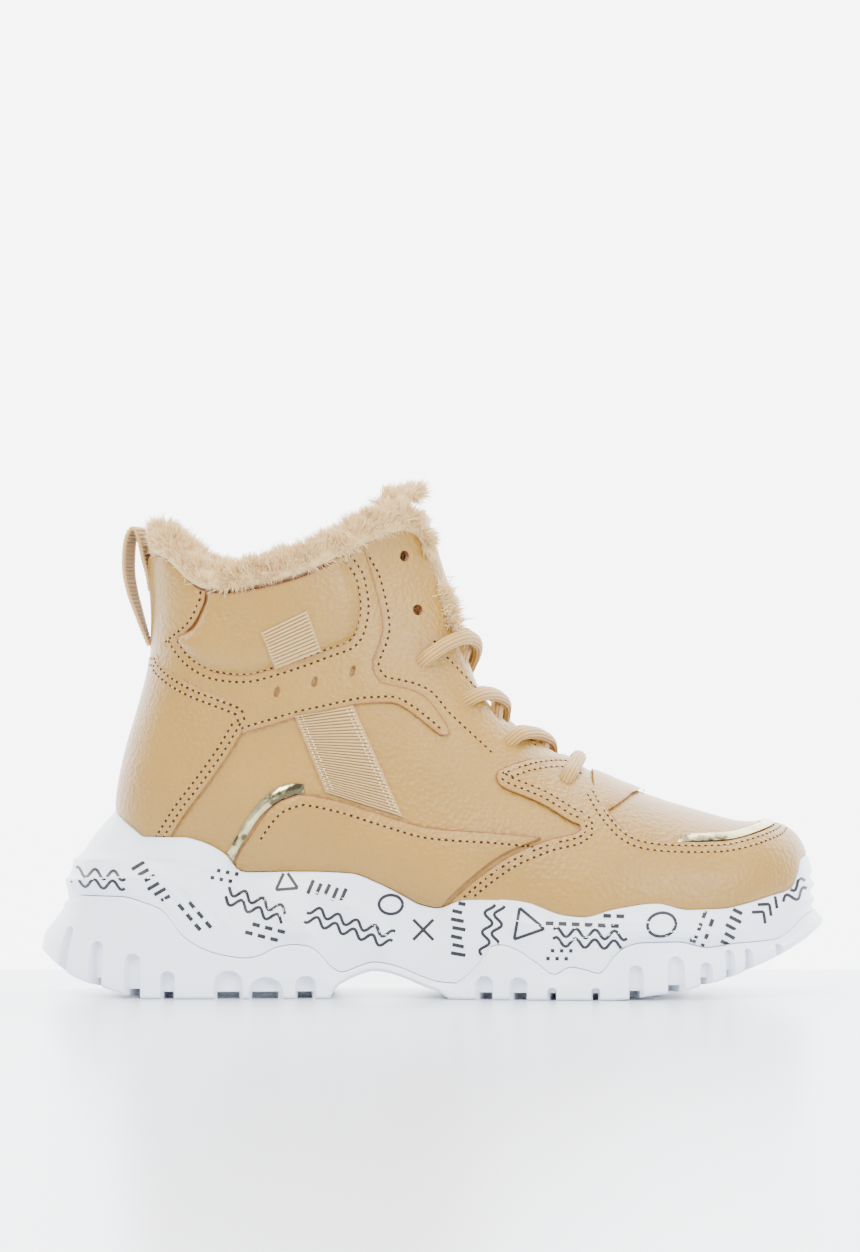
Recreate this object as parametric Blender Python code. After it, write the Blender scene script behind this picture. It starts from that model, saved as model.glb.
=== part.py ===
"""Lined hiking boot for the right foot, built the way a shoe factory puts one together.

The toe points along +X, the inner side of the foot is +Y and the floor is z = 0. The outer
skin of the upper is one form, worked out from a table of sections. Upper, overlays, tongue,
insole, lining and the hollow of the midsole are all cut from that form.
"""

import math

import bmesh
import bpy
import numpy as np
from mathutils import Vector
from mathutils.bvhtree import BVHTree

# Overall sizes in metres
SOLE_LENGTH = 0.281
SOLE_HEIGHT = 0.066
SHAFT_HEIGHT = 0.120
BALL_WIDTH = 0.096
HEEL_WIDTH = 0.067
COLLAR_WIDTH = 0.074

# Sole
SOLE_SPREAD = 0.0055
HEEL_FLARE = 0.0095
OUTSOLE_THICKNESS = 0.0085
SHELL = 0.0042
LEDGE = 0.0016
LIP = 0.0020
LIP_TURN = 0.006
EDGE_ROUND = 0.0016
SIDE_LEAN = 0.0020
HEEL_LEAN = 0.0080
NOTCH_DEPTH = 0.0030
TREAD_DEPTH = 0.0045
TREAD_REACH = 0.016
TREAD_WIDTH = 0.005
RIB_HEIGHT = 0.0012
RIB_WIDTH = 0.007

# Upper, lining and overlays
WALL = 0.0022
GAP = 0.0003
SEAT = 0.0005
OVERLAY = 0.0012
PAD = 0.0022
TRIM = 0.0011
WEBBING = 0.0010
INSOLE = 0.004
TONGUE = 0.0045
BOTTOM_MARGIN = 0.011
THROAT_WIDTH = 0.030
THROAT_FOOT_WIDTH = 0.018
EYELET = 0.0040

# Fur
FUR_RISE = 0.0125
FUR_DEPTH = 0.010
FUR_SKIRT = 0.016
FUR_BULGE = 0.0030
LOCK = 0.0022
TONGUE_PILE = 0.007

# Laces and pull loop
LACE_WIDTH = 0.0046
LACE_THICKNESS = 0.0030
LACE_REACH = (0.69, 0.69, 0.47)
LACE_LEVEL = 0.6
LACE_SINK = 0.0026
LOOP_WIDTH = 0.011
LOOP_THICKNESS = 0.0016

# Facets
FORM_ROWS = 22
FORM_COLUMNS = 18
TONGUE_COLUMNS = 2
RING_STEPS = 3
EYELET_SIDES = 6
LACE_STEPS = 9
FUR_STEPS = 36
EDGE_STEP = 0.2

# Sections of the form, from the toe to the top of the shaft. x counts from 0 at the back of
# the heel to 1 at the toe. Levels count 0 at the floor, 1 at the top of the sole's heel cup
# and 2 at the top of the fur. The width is a share of a named width, sway a share of the
# ball's, widest the place of the full width between low and high point, and the last two
# columns say how square the low and the high half are.
SECTIONS = (
    # low x, level, high x, level, width, of, sway, widest, low square, high square
    (0.968, 0.500, 0.978, 0.700, 0.30, "ball", 0.080, 0.50, 2.1, 2.1),
    (0.955, 0.420, 0.970, 0.803, 0.47, "ball", 0.075, 0.40, 2.5, 2.2),
    (0.930, 0.361, 0.955, 0.879, 0.61, "ball", 0.066, 0.34, 3.0, 2.3),
    (0.890, 0.311, 0.925, 0.927, 0.76, "ball", 0.050, 0.30, 3.2, 2.4),
    (0.845, 0.288, 0.885, 0.940, 0.87, "ball", 0.034, 0.28, 3.3, 2.3),
    (0.785, 0.273, 0.825, 1.008, 0.95, "ball", 0.018, 0.27, 3.3, 2.15),
    (0.720, 0.273, 0.757, 1.062, 1.00, "ball", 0.006, 0.26, 3.3, 2.05),
    (0.655, 0.280, 0.700, 1.117, 0.98, "ball", -0.003, 0.26, 3.2, 2.0),
    (0.585, 0.311, 0.650, 1.183, 0.91, "ball", -0.010, 0.28, 3.1, 1.95),
    (0.505, 0.371, 0.605, 1.267, 0.83, "ball", -0.016, 0.31, 3.0, 1.95),
    (0.420, 0.439, 0.573, 1.350, 0.77, "ball", -0.016, 0.35, 2.9, 2.0),
    (0.330, 0.492, 0.554, 1.458, 1.05, "heel", -0.010, 0.39, 2.8, 2.0),
    (0.240, 0.530, 0.543, 1.558, 1.03, "heel", -0.005, 0.42, 2.6, 1.95),
    (0.165, 0.556, 0.532, 1.658, 1.01, "heel", 0.0, 0.44, 2.4, 1.9),
    (0.120, 0.620, 0.522, 1.738, 1.00, "heel", 0.0, 0.45, 2.25, 1.9),
    (0.101, 0.818, 0.515, 1.792, 1.00, "heel", 0.0, 0.46, 2.2, 1.9),
    (0.099, 1.025, 0.510, 1.829, 1.00, "heel", 0.0, 0.47, 2.2, 1.9),
    (0.110, 1.158, 0.506, 1.858, 0.91, "collar", 0.0, 0.48, 2.2, 1.9),
    (0.127, 1.300, 0.502, 1.883, 0.92, "collar", 0.0, 0.48, 2.25, 1.9),
    (0.140, 1.433, 0.499, 1.908, 0.94, "collar", 0.0, 0.48, 2.3, 1.9),
    (0.144, 1.567, 0.496, 1.933, 0.97, "collar", 0.0, 0.48, 2.3, 1.95),
    (0.1415, 1.700, 0.494, 1.958, 1.00, "collar", 0.0, 0.48, 2.3, 1.95),
    (0.141, 1.850, 0.491, 1.992, 1.02, "collar", 0.0, 0.48, 2.3, 1.95),
)
TOE_POINT = (0.979, 0.600, 0.080)
NAMED_WIDTH = {"ball": BALL_WIDTH, "heel": HEEL_WIDTH, "collar": COLLAR_WIDTH}

# Plan outline of the sole: x, outer half and inner half as shares of half the sole's width
OUTLINE = (
    (0.008, 0.33, 0.33),
    (0.035, 0.65, 0.63),
    (0.085, 0.88, 0.86),
    (0.160, 1.00, 0.97),
    (0.260, 1.00, 0.97),
    (0.370, 0.93, 0.87),
    (0.470, 0.87, 0.80),
    (0.570, 0.92, 0.87),
    (0.670, 0.985, 0.98),
    (0.760, 0.98, 1.02),
    (0.840, 0.88, 0.99),
    (0.905, 0.73, 0.90),
    (0.950, 0.56, 0.76),
    (0.980, 0.35, 0.57),
    (0.994, 0.14, 0.38),
)
TOE_SWAY = 0.11

# Heights of the sole along its length, as x and level
UNDERSIDE = (
    (0.000, 0.235), (0.022, 0.164), (0.037, 0.120), (0.058, 0.085), (0.080, 0.060),
    (0.107, 0.028), (0.135, 0.000), (0.371, 0.000), (0.378, 0.060), (0.388, 0.090),
    (0.412, 0.136), (0.426, 0.150), (0.441, 0.142), (0.462, 0.115), (0.487, 0.069),
    (0.506, 0.040), (0.522, 0.000), (0.720, 0.000), (0.751, 0.010), (0.775, 0.026),
    (0.815, 0.045), (0.835, 0.069), (0.871, 0.110), (0.906, 0.167), (0.936, 0.218),
    (0.959, 0.265), (0.976, 0.305), (0.990, 0.345), (1.000, 0.365),
)
LEDGE_LINE = (
    (0.000, 0.500), (0.041, 0.545), (0.102, 0.544), (0.135, 0.512), (0.155, 0.480),
    (0.167, 0.432), (0.184, 0.340), (0.206, 0.276), (0.236, 0.233), (0.265, 0.217),
    (0.284, 0.233), (0.303, 0.273), (0.325, 0.289), (0.343, 0.281), (0.357, 0.244),
    (0.371, 0.174), (0.385, 0.140), (0.405, 0.170), (0.426, 0.195), (0.441, 0.187),
    (0.462, 0.160), (0.487, 0.114), (0.506, 0.090), (0.525, 0.085), (0.535, 0.110),
    (0.559, 0.211), (0.572, 0.287), (0.584, 0.292), (0.598, 0.276), (0.627, 0.201),
    (0.651, 0.136), (0.671, 0.176), (0.694, 0.158), (0.708, 0.142), (0.729, 0.238),
    (0.743, 0.284), (0.765, 0.305), (0.811, 0.308), (0.851, 0.276), (0.878, 0.292),
    (0.943, 0.313), (0.965, 0.360), (0.985, 0.430), (1.000, 0.455),
)
CUP_LINE = (
    (0.093, 1.010), (0.108, 0.950), (0.123, 0.896), (0.135, 0.861), (0.184, 0.861),
    (0.206, 0.840), (0.226, 0.802), (0.240, 0.759), (0.251, 0.695), (0.262, 0.673),
    (0.340, 0.679), (0.396, 0.671), (0.430, 0.620), (0.461, 0.555), (0.486, 0.501),
    (0.507, 0.485), (0.538, 0.534), (0.564, 0.550), (0.613, 0.528), (0.666, 0.453),
    (0.689, 0.444), (0.729, 0.487), (0.780, 0.515), (0.820, 0.480), (0.863, 0.483),
    (0.893, 0.507), (0.924, 0.544), (0.944, 0.580), (0.952, 0.640), (0.962, 0.735),
    (1.000, 0.750),
)

# Notches between the lugs along each side: x, width in metres, level of the round top
NOTCHES = (
    (0.030, 0.0042, 0.380),
    (0.073, 0.0046, 0.308),
    (0.121, 0.0050, 0.244),
    (0.166, 0.0042, 0.152),
    (0.243, 0.0085, 0.155),
    (0.290, 0.0100, 0.120),
    (0.340, 0.0060, 0.125),
    (0.564, 0.0052, 0.131),
    (0.607, 0.0053, 0.125),
    (0.649, 0.0028, 0.070),
    (0.704, 0.0026, 0.070),
    (0.755, 0.0044, 0.190),
    (0.806, 0.0052, 0.236),
    (0.844, 0.0038, 0.201),
    (0.875, 0.0030, 0.265),
    (0.899, 0.0028, 0.270),
    (0.939, 0.0028, 0.290),
)
# Grooves across the tread: x and slant of each chevron as a share of the sole's length
CHEVRONS = (
    (0.200, 0.02), (0.265, 0.02), (0.325, 0.02),
    (0.585, -0.03), (0.628, -0.03), (0.672, -0.03), (0.716, -0.03), (0.760, -0.03),
    (0.805, -0.03),
)
# Diagonal steps on the side of the midsole: x and level
STEP_LINES = (
    ((0.258, 0.650), (0.264, 0.577), (0.284, 0.525), (0.317, 0.426), (0.352, 0.330)),
    ((0.340, 0.590), (0.371, 0.545), (0.409, 0.453), (0.436, 0.360), (0.455, 0.300)),
)

# Top edge of the leather, and the outlines of the overlays in side view: x and level
COLLAR_LINE = (
    (0.100, 1.757), (0.150, 1.757), (0.167, 1.740), (0.191, 1.680), (0.208, 1.655),
    (0.234, 1.645), (0.262, 1.651), (0.298, 1.669), (0.333, 1.693), (0.369, 1.730),
    (0.407, 1.783), (0.439, 1.818), (0.460, 1.832), (0.478, 1.822), (0.489, 1.783),
    (0.497, 1.733), (0.506, 1.650), (0.520, 1.565), (0.535, 1.478), (0.557, 1.358),
    (0.590, 1.250),
)
HEEL_COUNTER = (
    (0.05, 1.478), (0.147, 1.467), (0.163, 1.423), (0.191, 1.382), (0.226, 1.349),
    (0.255, 1.323), (0.265, 1.302), (0.268, 1.281), (0.259, 1.240), (0.241, 1.169),
    (0.211, 1.071), (0.184, 0.979), (0.155, 0.780), (0.05, 0.780),
)
MIDFOOT_STRAP = (
    (0.275, 1.395), (0.298, 1.418), (0.333, 1.440), (0.369, 1.464), (0.400, 1.500),
    (0.419, 1.500), (0.416, 1.435), (0.427, 1.378), (0.482, 1.342), (0.513, 1.268),
    (0.520, 1.232), (0.510, 1.231), (0.492, 1.263), (0.473, 1.297), (0.453, 1.323),
    (0.429, 1.325), (0.404, 1.320), (0.369, 1.302), (0.333, 1.284), (0.298, 1.260),
    (0.272, 1.242), (0.274, 1.281), (0.272, 1.310),
)
COLLAR_PAD = (
    (0.156, 1.470), (0.167, 1.435), (0.195, 1.395), (0.228, 1.362), (0.258, 1.340),
    (0.269, 1.390), (0.298, 1.425), (0.333, 1.448), (0.369, 1.472), (0.391, 1.504),
    (0.404, 1.550), (0.406, 1.609), (0.398, 1.659), (0.386, 1.690), (0.369, 1.690),
    (0.333, 1.655), (0.298, 1.632), (0.262, 1.615), (0.234, 1.608), (0.212, 1.612),
    (0.196, 1.600), (0.190, 1.540), (0.172, 1.500),
)
EYESTAY = (
    (0.412, 1.765), (0.428, 1.683), (0.439, 1.544), (0.426, 1.440), (0.436, 1.388),
    (0.488, 1.354), (0.519, 1.278), (0.567, 1.173), (0.582, 1.122), (0.591, 1.077),
    (0.636, 1.033), (0.672, 0.965), (0.682, 0.960), (0.688, 1.020), (0.6965, 1.080),
    (0.7020, 1.080), (0.7230, 1.012), (0.735, 1.034), (0.752, 1.047), (0.772, 1.058),
    (0.790, 1.300), (0.660, 1.900), (0.400, 1.900),
)
FOXING = (
    (0.252, 0.740), (0.268, 0.857), (0.286, 0.970), (0.301, 1.020), (0.318, 1.040),
    (0.340, 1.050), (0.384, 1.030), (0.436, 0.986), (0.486, 0.924), (0.525, 0.905),
    (0.575, 0.893), (0.636, 0.870), (0.585, 0.775), (0.540, 0.625), (0.512, 0.500),
    (0.500, 0.420), (0.400, 0.500), (0.252, 0.600),
)
TOE_GUARD = (
    (0.699, 1.068), (0.720, 1.004), (0.747, 0.880), (0.781, 0.830), (0.844, 0.805),
    (0.886, 0.830), (0.936, 0.900), (0.960, 0.960), (1.050, 0.960), (1.050, 0.400),
    (0.507, 0.400), (0.518, 0.491), (0.547, 0.614), (0.593, 0.759), (0.641, 0.850),
    (0.676, 0.892), (0.686, 0.955), (0.692, 1.020),
)
SIDE_TRIM = (
    (0.236, 0.700), (0.259, 0.867), (0.277, 0.990), (0.298, 1.045), (0.318, 1.067),
    (0.334, 1.069), (0.334, 1.053), (0.318, 1.044), (0.301, 1.024), (0.282, 0.974),
    (0.263, 0.860), (0.243, 0.700),
)
TOE_TRIM = (
    (0.806, 0.846), (0.812, 0.880), (0.845, 0.884), (0.880, 0.893), (0.910, 0.912),
    (0.926, 0.922), (0.945, 0.945), (0.934, 0.908), (0.886, 0.838), (0.844, 0.814),
)
COLLAR_TAB = ((0.283, 1.530), (0.341, 1.596), (0.359, 1.478), (0.301, 1.425))
SIDE_TAB = ((0.333, 1.262), (0.392, 1.292), (0.455, 0.990), (0.366, 1.060))

# Eyelets, from the top down: x, level
EYELETS = (
    (0.464, 1.758), (0.481, 1.598), (0.486, 1.443), (0.544, 1.330), (0.598, 1.208),
    (0.668, 1.085),
)
# Centre line of the pull loop's tape, from its foot to its end under the fur
LOOP_LINE = (
    (0.1375, 1.492), (0.1310, 1.535), (0.1220, 1.600), (0.1150, 1.655), (0.1105, 1.720),
    (0.1120, 1.800), (0.1175, 1.836), (0.1240, 1.838), (0.1290, 1.800), (0.1330, 1.745),
    (0.1370, 1.700), (0.1388, 1.655),
)

LEATHER = ("leather", (0.648, 0.455, 0.238), 0.48, 0.0)
RUBBER = ("white_rubber", (0.80, 0.82, 0.85), 0.45, 0.0)
FUR = ("fur", (0.78, 0.58, 0.44), 0.95, 0.0)
TAPE = ("webbing", (0.60, 0.47, 0.30), 0.80, 0.0)
GOLD = ("gold_trim", (0.60, 0.55, 0.36), 0.28, 0.85)
LACE = ("lace", (0.72, 0.52, 0.30), 0.75, 0.0)
FELT = ("insole_cloth", (0.70, 0.52, 0.38), 0.90, 0.0)

LATERAL, MEDIAL = -1, 1


def along(x):
    """World x of a share of the sole's length, counted from the heel."""
    return (np.asarray(x, float) - 0.5) * SOLE_LENGTH


def share(x):
    return np.asarray(x, float) / SOLE_LENGTH + 0.5


def level(height):
    """World z of a level."""
    height = np.asarray(height, float)
    return np.where(height <= 1, height * SOLE_HEIGHT, SOLE_HEIGHT + (height - 1) * SHAFT_HEIGHT)


def read_line(line, x):
    table = np.array(line)
    return level(np.interp(x, table[:, 0], table[:, 1]))


def spline(points, steps, closed=False):
    """Points on a Catmull-Rom curve through the given ones."""
    points = np.asarray(points, float)
    if closed:
        padded = np.vstack([points[-1:], points, points[:2]])
    else:
        padded = np.vstack([2 * points[0] - points[1], points, 2 * points[-1] - points[-2]])
    out = []
    for a, b, c, d in zip(padded, padded[1:], padded[2:], padded[3:]):
        for t in np.arange(steps) / steps:
            out.append(
                b + 0.5 * t * (c - a + t * (2 * a - 5 * b + 4 * c - d + t * (3 * (b - c) + d - a)))
            )
    if not closed:
        out.append(points[-1])
    return np.array(out)


def material_of(look):
    name, colour, roughness, metallic = look
    material = bpy.data.materials.get(name)
    if material is None:
        material = bpy.data.materials.new(name)
        material.use_nodes = True
        shader = material.node_tree.nodes["Principled BSDF"]
        shader.inputs["Base Color"].default_value = (*colour, 1.0)
        shader.inputs["Roughness"].default_value = roughness
        shader.inputs["Metallic"].default_value = metallic
    return material


def object_of(name, points, faces, look=None):
    """One object from points and faces, its faces turned outwards."""
    mesh = bpy.data.meshes.new(name)
    mesh.from_pydata([tuple(p) for p in points], [], [tuple(f) for f in faces])
    shape = bmesh.new()
    shape.from_mesh(mesh)
    bmesh.ops.remove_doubles(shape, verts=shape.verts, dist=1e-6)
    bmesh.ops.recalc_face_normals(shape, faces=shape.faces)
    if shape.calc_volume(signed=True) < 0:
        bmesh.ops.reverse_faces(shape, faces=shape.faces)
    shape.to_mesh(mesh)
    shape.free()
    made = bpy.data.objects.new(name, mesh)
    bpy.context.scene.collection.objects.link(made)
    if look:
        mesh.materials.append(material_of(look))
    return made


def drop(thing):
    mesh = thing.data
    bpy.data.objects.remove(thing)
    if mesh.users == 0:
        bpy.data.meshes.remove(mesh)


def combine(target, tool, how, keep=False):
    """Boolean of two solids, applied at once."""
    step = target.modifiers.new(how.lower(), "BOOLEAN")
    step.operation = how
    step.solver = "EXACT"
    step.object = tool
    bpy.context.view_layer.update()
    graph = bpy.context.evaluated_depsgraph_get()
    mesh = bpy.data.meshes.new_from_object(target.evaluated_get(graph))
    old = target.data
    target.modifiers.clear()
    target.data = mesh
    bpy.data.meshes.remove(old)
    if not keep:
        drop(tool)
    return target


def drop_crumbs(shape):
    """Keeps only the largest of the bodies that a cut has left."""
    bodies = []
    waiting = set(shape.verts)
    while waiting:
        body = set()
        edge = [waiting.pop()]
        while edge:
            point = edge.pop()
            body.add(point)
            for link in point.link_edges:
                other = link.other_vert(point)
                if other in waiting:
                    waiting.remove(other)
                    edge.append(other)
        bodies.append(body)
    bodies.sort(key=len)
    crumbs = [point for body in bodies[:-1] for point in body]
    bmesh.ops.delete(shape, geom=crumbs, context="VERTS")


def tidy(thing):
    """Merges stray points and flat faces left by the cuts."""
    shape = bmesh.new()
    shape.from_mesh(thing.data)
    bmesh.ops.remove_doubles(shape, verts=shape.verts, dist=1e-5)
    drop_crumbs(shape)
    bmesh.ops.dissolve_degenerate(shape, edges=shape.edges, dist=1e-5)
    bmesh.ops.dissolve_limit(shape, angle_limit=0.008, verts=shape.verts, edges=shape.edges)
    bmesh.ops.triangulate(shape, faces=shape.faces)
    shape.to_mesh(thing.data)
    shape.free()
    thing.data.shade_smooth()
    thing.data.set_sharp_from_angle(angle=math.radians(35))
    return thing


# The form


def section_rows(count):
    """The section table, smoothed: one row of plain numbers for each of the form's rings."""
    rows = []
    for low_x, low_h, high_x, high_h, width, of, sway, widest, low_n, high_n in SECTIONS:
        rows.append((
            along(low_x), level(low_h), along(high_x), level(high_h),
            width * NAMED_WIDTH[of] / 2, sway * BALL_WIDTH, widest, low_n, high_n,
        ))
    fine = spline(rows, 8)
    pick = np.linspace(0, 1, count) ** 0.92 * (len(fine) - 1)
    index = np.arange(len(fine))
    return np.array([np.interp(pick, index, column) for column in fine.T]).T


def form_grid(rows=FORM_ROWS, columns=FORM_COLUMNS):
    """Rings of the form's skin. Column 0 is the low point and the middle column the high one."""
    grid = []
    for low_x, low_z, high_x, high_z, half, sway, widest, low_n, high_n in section_rows(rows):
        low = np.array([low_x, low_z])
        high = np.array([high_x, high_z])
        middle = low + (high - low) * widest
        ring = []
        for k in range(columns):
            turn = 2 * math.pi * k / columns
            down, side = math.cos(turn), math.sin(turn)
            power = 2 / (low_n if down > 0 else high_n)
            reach = low - middle if down > 0 else high - middle
            spot = middle + reach * abs(down) ** power
            y = -math.copysign(half * abs(side) ** power, side) + sway
            ring.append((spot[0], y, spot[1]))
        grid.append(ring)
    return np.array(grid)


def grid_normals(grid):
    """Outward unit normals of the grid's points."""
    round_way = np.roll(grid, -1, 1) - np.roll(grid, 1, 1)
    up_way = np.gradient(grid, axis=0)
    normals = np.cross(round_way, up_way)
    normals /= np.linalg.norm(normals, axis=2, keepdims=True) + 1e-12
    middle = grid.mean(axis=1, keepdims=True)
    if (normals * (grid - middle)).sum() < 0:
        normals = -normals
    return normals


def offset_grid(out, rows=FORM_ROWS, columns=FORM_COLUMNS):
    grid = form_grid(rows, columns)
    return grid + grid_normals(grid) * out


def toe_point(out):
    x, height, sway = TOE_POINT
    return (float(along(x)) + out, sway * BALL_WIDTH, float(level(height)))


def split(a, b, c, d):
    """Two triangles for a four-sided face, cut the same way at every offset of the form."""
    return (a, b, c), (a, c, d)


def form_solid(name, out, lift=0.0):
    """The closed form, grown by an offset, its top lengthened by lift."""
    grid = offset_grid(out)
    if lift:
        top = grid[-1] + np.array([0, 0, lift])
        grid = np.concatenate([grid, top[None]])
    rows, columns = grid.shape[:2]
    points = [tuple(p) for p in grid.reshape(-1, 3)]
    points.append(toe_point(out))
    faces = []
    for i in range(rows - 1):
        here, above = i * columns, (i + 1) * columns
        for k in range(columns):
            n = (k + 1) % columns
            faces += split(here + k, here + n, above + n, above + k)
    for k in range(columns):
        faces.append((len(points) - 1, (k + 1) % columns, k))
    faces.append([(rows - 1) * columns + k for k in range(columns)])
    return object_of(name, points, faces)


def form_tree(out=0.0):
    """The form's skin as a tree that rays can be cast at."""
    grid = offset_grid(out, 60, 60)
    rows, columns = grid.shape[:2]
    points = [Vector(p) for p in grid.reshape(-1, 3)] + [Vector(toe_point(out))]
    faces = []
    for i in range(rows - 1):
        for k in range(columns):
            n = (k + 1) % columns
            faces.append((i * columns + k, i * columns + n, (i + 1) * columns + n, (i + 1) * columns + k))
    for k in range(columns):
        faces.append((len(points) - 1, (k + 1) % columns, k))
    return BVHTree.FromPolygons(points, faces)


def patch_solid(name, first, last, near, spread, outer, inner, look):
    """A shell between two offsets of the form, over some rows and a span of columns around
    the low or the high side."""
    near_column = {"low": 0, "high": FORM_COLUMNS // 2}[near]
    skins = [offset_grid(outer), offset_grid(inner)]
    across = 2 * spread + 1
    columns = [(near_column + k) % FORM_COLUMNS for k in range(-spread, spread + 1)]
    points = []
    for skin in skins:
        for i in range(first, last + 1):
            points += [tuple(skin[i][k]) for k in columns]
    deep = (last - first + 1) * across
    faces = []
    for i in range(last - first):
        for k in range(across - 1):
            a, b = i * across + k, i * across + k + 1
            c, d = b + across, a + across
            faces += split(a, b, c, d)
            faces += split(deep + a, deep + b, deep + c, deep + d)
        for k in (0, across - 1):
            a, d = i * across + k, (i + 1) * across + k
            faces.append((a, d, deep + d, deep + a))
    for i in (0, last - first):
        for k in range(across - 1):
            a, b = i * across + k, i * across + k + 1
            faces.append((a, b, deep + b, deep + a))
    return object_of(name, points, faces, look)


def skin_solid(name, outer, inner):
    """A closed shell between two offsets of the form, open at neither end."""
    solid = form_solid(name, outer)
    return combine(solid, form_solid("core", inner, lift=0.004), "DIFFERENCE")


def prism(name, outline, y_low, y_high):
    """A side-view outline, as x shares and levels, drawn out along Y."""
    flat = [(float(along(x)), float(level(h))) for x, h in outline]
    count = len(flat)
    points = [(x, y_low, z) for x, z in flat] + [(x, y_high, z) for x, z in flat]
    faces = [tuple(range(count)), tuple(range(2 * count - 1, count - 1, -1))]
    faces += [(k, (k + 1) % count, (k + 1) % count + count, k + count) for k in range(count)]
    return object_of(name, points, faces)


# The sole


def sole_ring():
    """Plan outline of the sole as a closed ring from the heel over the outer side to the toe
    and back. Returns points and inward unit normals."""
    def half(x):
        blend = np.clip((x - 0.30) / 0.35, 0, 1)
        blend = blend * blend * (3 - 2 * blend)
        heel = HEEL_WIDTH / 2 + HEEL_FLARE
        return heel + (BALL_WIDTH / 2 + SOLE_SPREAD - heel) * blend

    outer = [(float(along(x)), -a * half(x)) for x, a, b in OUTLINE]
    inner = [(float(along(x)), b * half(x)) for x, a, b in OUTLINE]
    toe = (float(along(1.0)), TOE_SWAY * half(1.0))
    heel = (float(along(0.0)), 0.0)
    ring = spline([heel] + outer + [toe] + inner[::-1], RING_STEPS, closed=True)
    tangent = np.roll(ring, -1, 0) - np.roll(ring, 1, 0)
    tangent /= np.linalg.norm(tangent, axis=1, keepdims=True)
    inward = np.stack([-tangent[:, 1], tangent[:, 0]], 1)
    return ring, inward


def heel_share(ring):
    """1 at the back of the heel and 0 where the sides run straight."""
    x = share(ring[:, 0])
    return np.clip(1 - x / 0.14, 0, 1) ** 1.2


def toe_share(ring):
    x = share(ring[:, 0])
    return np.clip((x - 0.88) / 0.10, 0, 1)


def ring_solid(name, rings, look=None):
    """A solid from rings stacked from its underside to its top. Each end is closed by a
    ladder of faces from the outer to the inner side."""
    count = len(rings[0])
    half = count // 2
    points = [tuple(p) for ring in rings for p in ring]
    faces = []
    for r in range(len(rings) - 1):
        for k in range(count):
            n = (k + 1) % count
            faces.append((r * count + k, r * count + n, (r + 1) * count + n, (r + 1) * count + k))
    for r in (0, len(rings) - 1):
        base = r * count
        for k in range(half):
            corners = [base + k, base + k + 1, base + (count - k - 1) % count, base + (count - k) % count]
            unique = list(dict.fromkeys(corners))
            if len(unique) > 2:
                faces.append(unique)
    return object_of(name, points, faces, look)


def ring_at(ring, inward, inset, height):
    spots = ring + inward * np.reshape(inset, (-1, 1))
    return np.column_stack([spots, np.broadcast_to(height, len(ring))])


def sole_lines(ring):
    """Heights of underside, inner top of the outsole, and ledge for each point of the ring."""
    x = share(ring[:, 0])
    under = read_line(UNDERSIDE, x)
    ledge = read_line(LEDGE_LINE, x)
    thickness = OUTSOLE_THICKNESS * (1 - 0.6 * toe_share(ring))
    seat = np.minimum(under + thickness, ledge - GAP)
    return under, seat, ledge


def lean_of(ring):
    return SIDE_LEAN + (HEEL_LEAN - SIDE_LEAN) * heel_share(ring)


def outsole_solid():
    ring, inward = sole_ring()
    under, seat, ledge = sole_lines(ring)
    lean = lean_of(ring)
    wide = np.minimum(under + 0.005, (under + ledge) / 2)
    rings = [
        ring_at(ring, inward, EDGE_ROUND + 0 * lean, under),
        ring_at(ring, inward, 0 * lean, wide),
        ring_at(ring, inward, lean * 0.9, ledge - np.minimum(0.001, (ledge - wide) / 3)),
        ring_at(ring, inward, lean + 0.0004, ledge),
        ring_at(ring, inward, lean + SHELL - 0.0004, ledge),
        ring_at(ring, inward, lean + SHELL + 0.002, seat),
    ]
    return ring_solid("outsole", rings, RUBBER)


def cup_edge(tree, ring, inward, z_guess):
    """Where a line from the ring towards the foot meets the form, measured as an inset."""
    insets = []
    for (x, y), (nx, ny), z in zip(ring, inward, z_guess):
        start = Vector((x - nx * 0.03, y - ny * 0.03, z))
        hit = tree.ray_cast(start, Vector((nx, ny, 0)), 0.12)
        insets.append(hit[3] - 0.03 if hit[0] else 0.02)
    return np.array(insets)


def midsole_solid(name, tree, grow=0.0, look=None):
    """The cup before its hollow is cut. Grown by a clearance it is the cutter for overlays."""
    ring, inward = sole_ring()
    under, seat, ledge = sole_lines(ring)
    lean = lean_of(ring)
    top = read_line(CUP_LINE, share(ring[:, 0]))
    for _ in range(3):
        inset = cup_edge(tree, ring, inward, top)
        edge = ring + inward * inset[:, None]
        top = read_line(CUP_LINE, share(edge[:, 0]))
    top = top + grow
    inset = cup_edge(tree, ring, inward, top)
    start = lean + LEDGE - grow
    finish = np.maximum(inset - LIP - grow, start)
    bend = 1.9 + 2.6 * toe_share(ring)
    base = ledge + GAP
    rings = [
        ring_at(ring, inward, lean + SHELL + 2 * GAP + 0.002, seat + GAP),
        ring_at(ring, inward, lean + SHELL + GAP, base - GAP / 4),
        ring_at(ring, inward, start, base),
    ]
    for part in (0.3, 0.6, 0.85):
        rings.append(ring_at(ring, inward, start + (finish - start) * part**bend, base + (top - base) * part))
    rings.append(ring_at(ring, inward, finish, top))
    rings.append(ring_at(ring, inward, inset + LIP_TURN, top - 0.001))
    return ring_solid(name, rings, look)


def ring_frame(ring, inward, x, side):
    """Point and inward direction on one side of the ring at a share of the length."""
    half = len(ring) // 2
    if side == LATERAL:
        order = np.arange(0, half + 1)
    else:
        order = np.concatenate([[0], np.arange(len(ring) - 1, half - 1, -1)])
    shares = share(ring[order, 0])
    spot = [np.interp(x, shares, ring[order, k]) for k in (0, 1)]
    way = np.array([np.interp(x, shares, inward[order, k]) for k in (0, 1)])
    return np.array(spot), way / np.linalg.norm(way)


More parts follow.
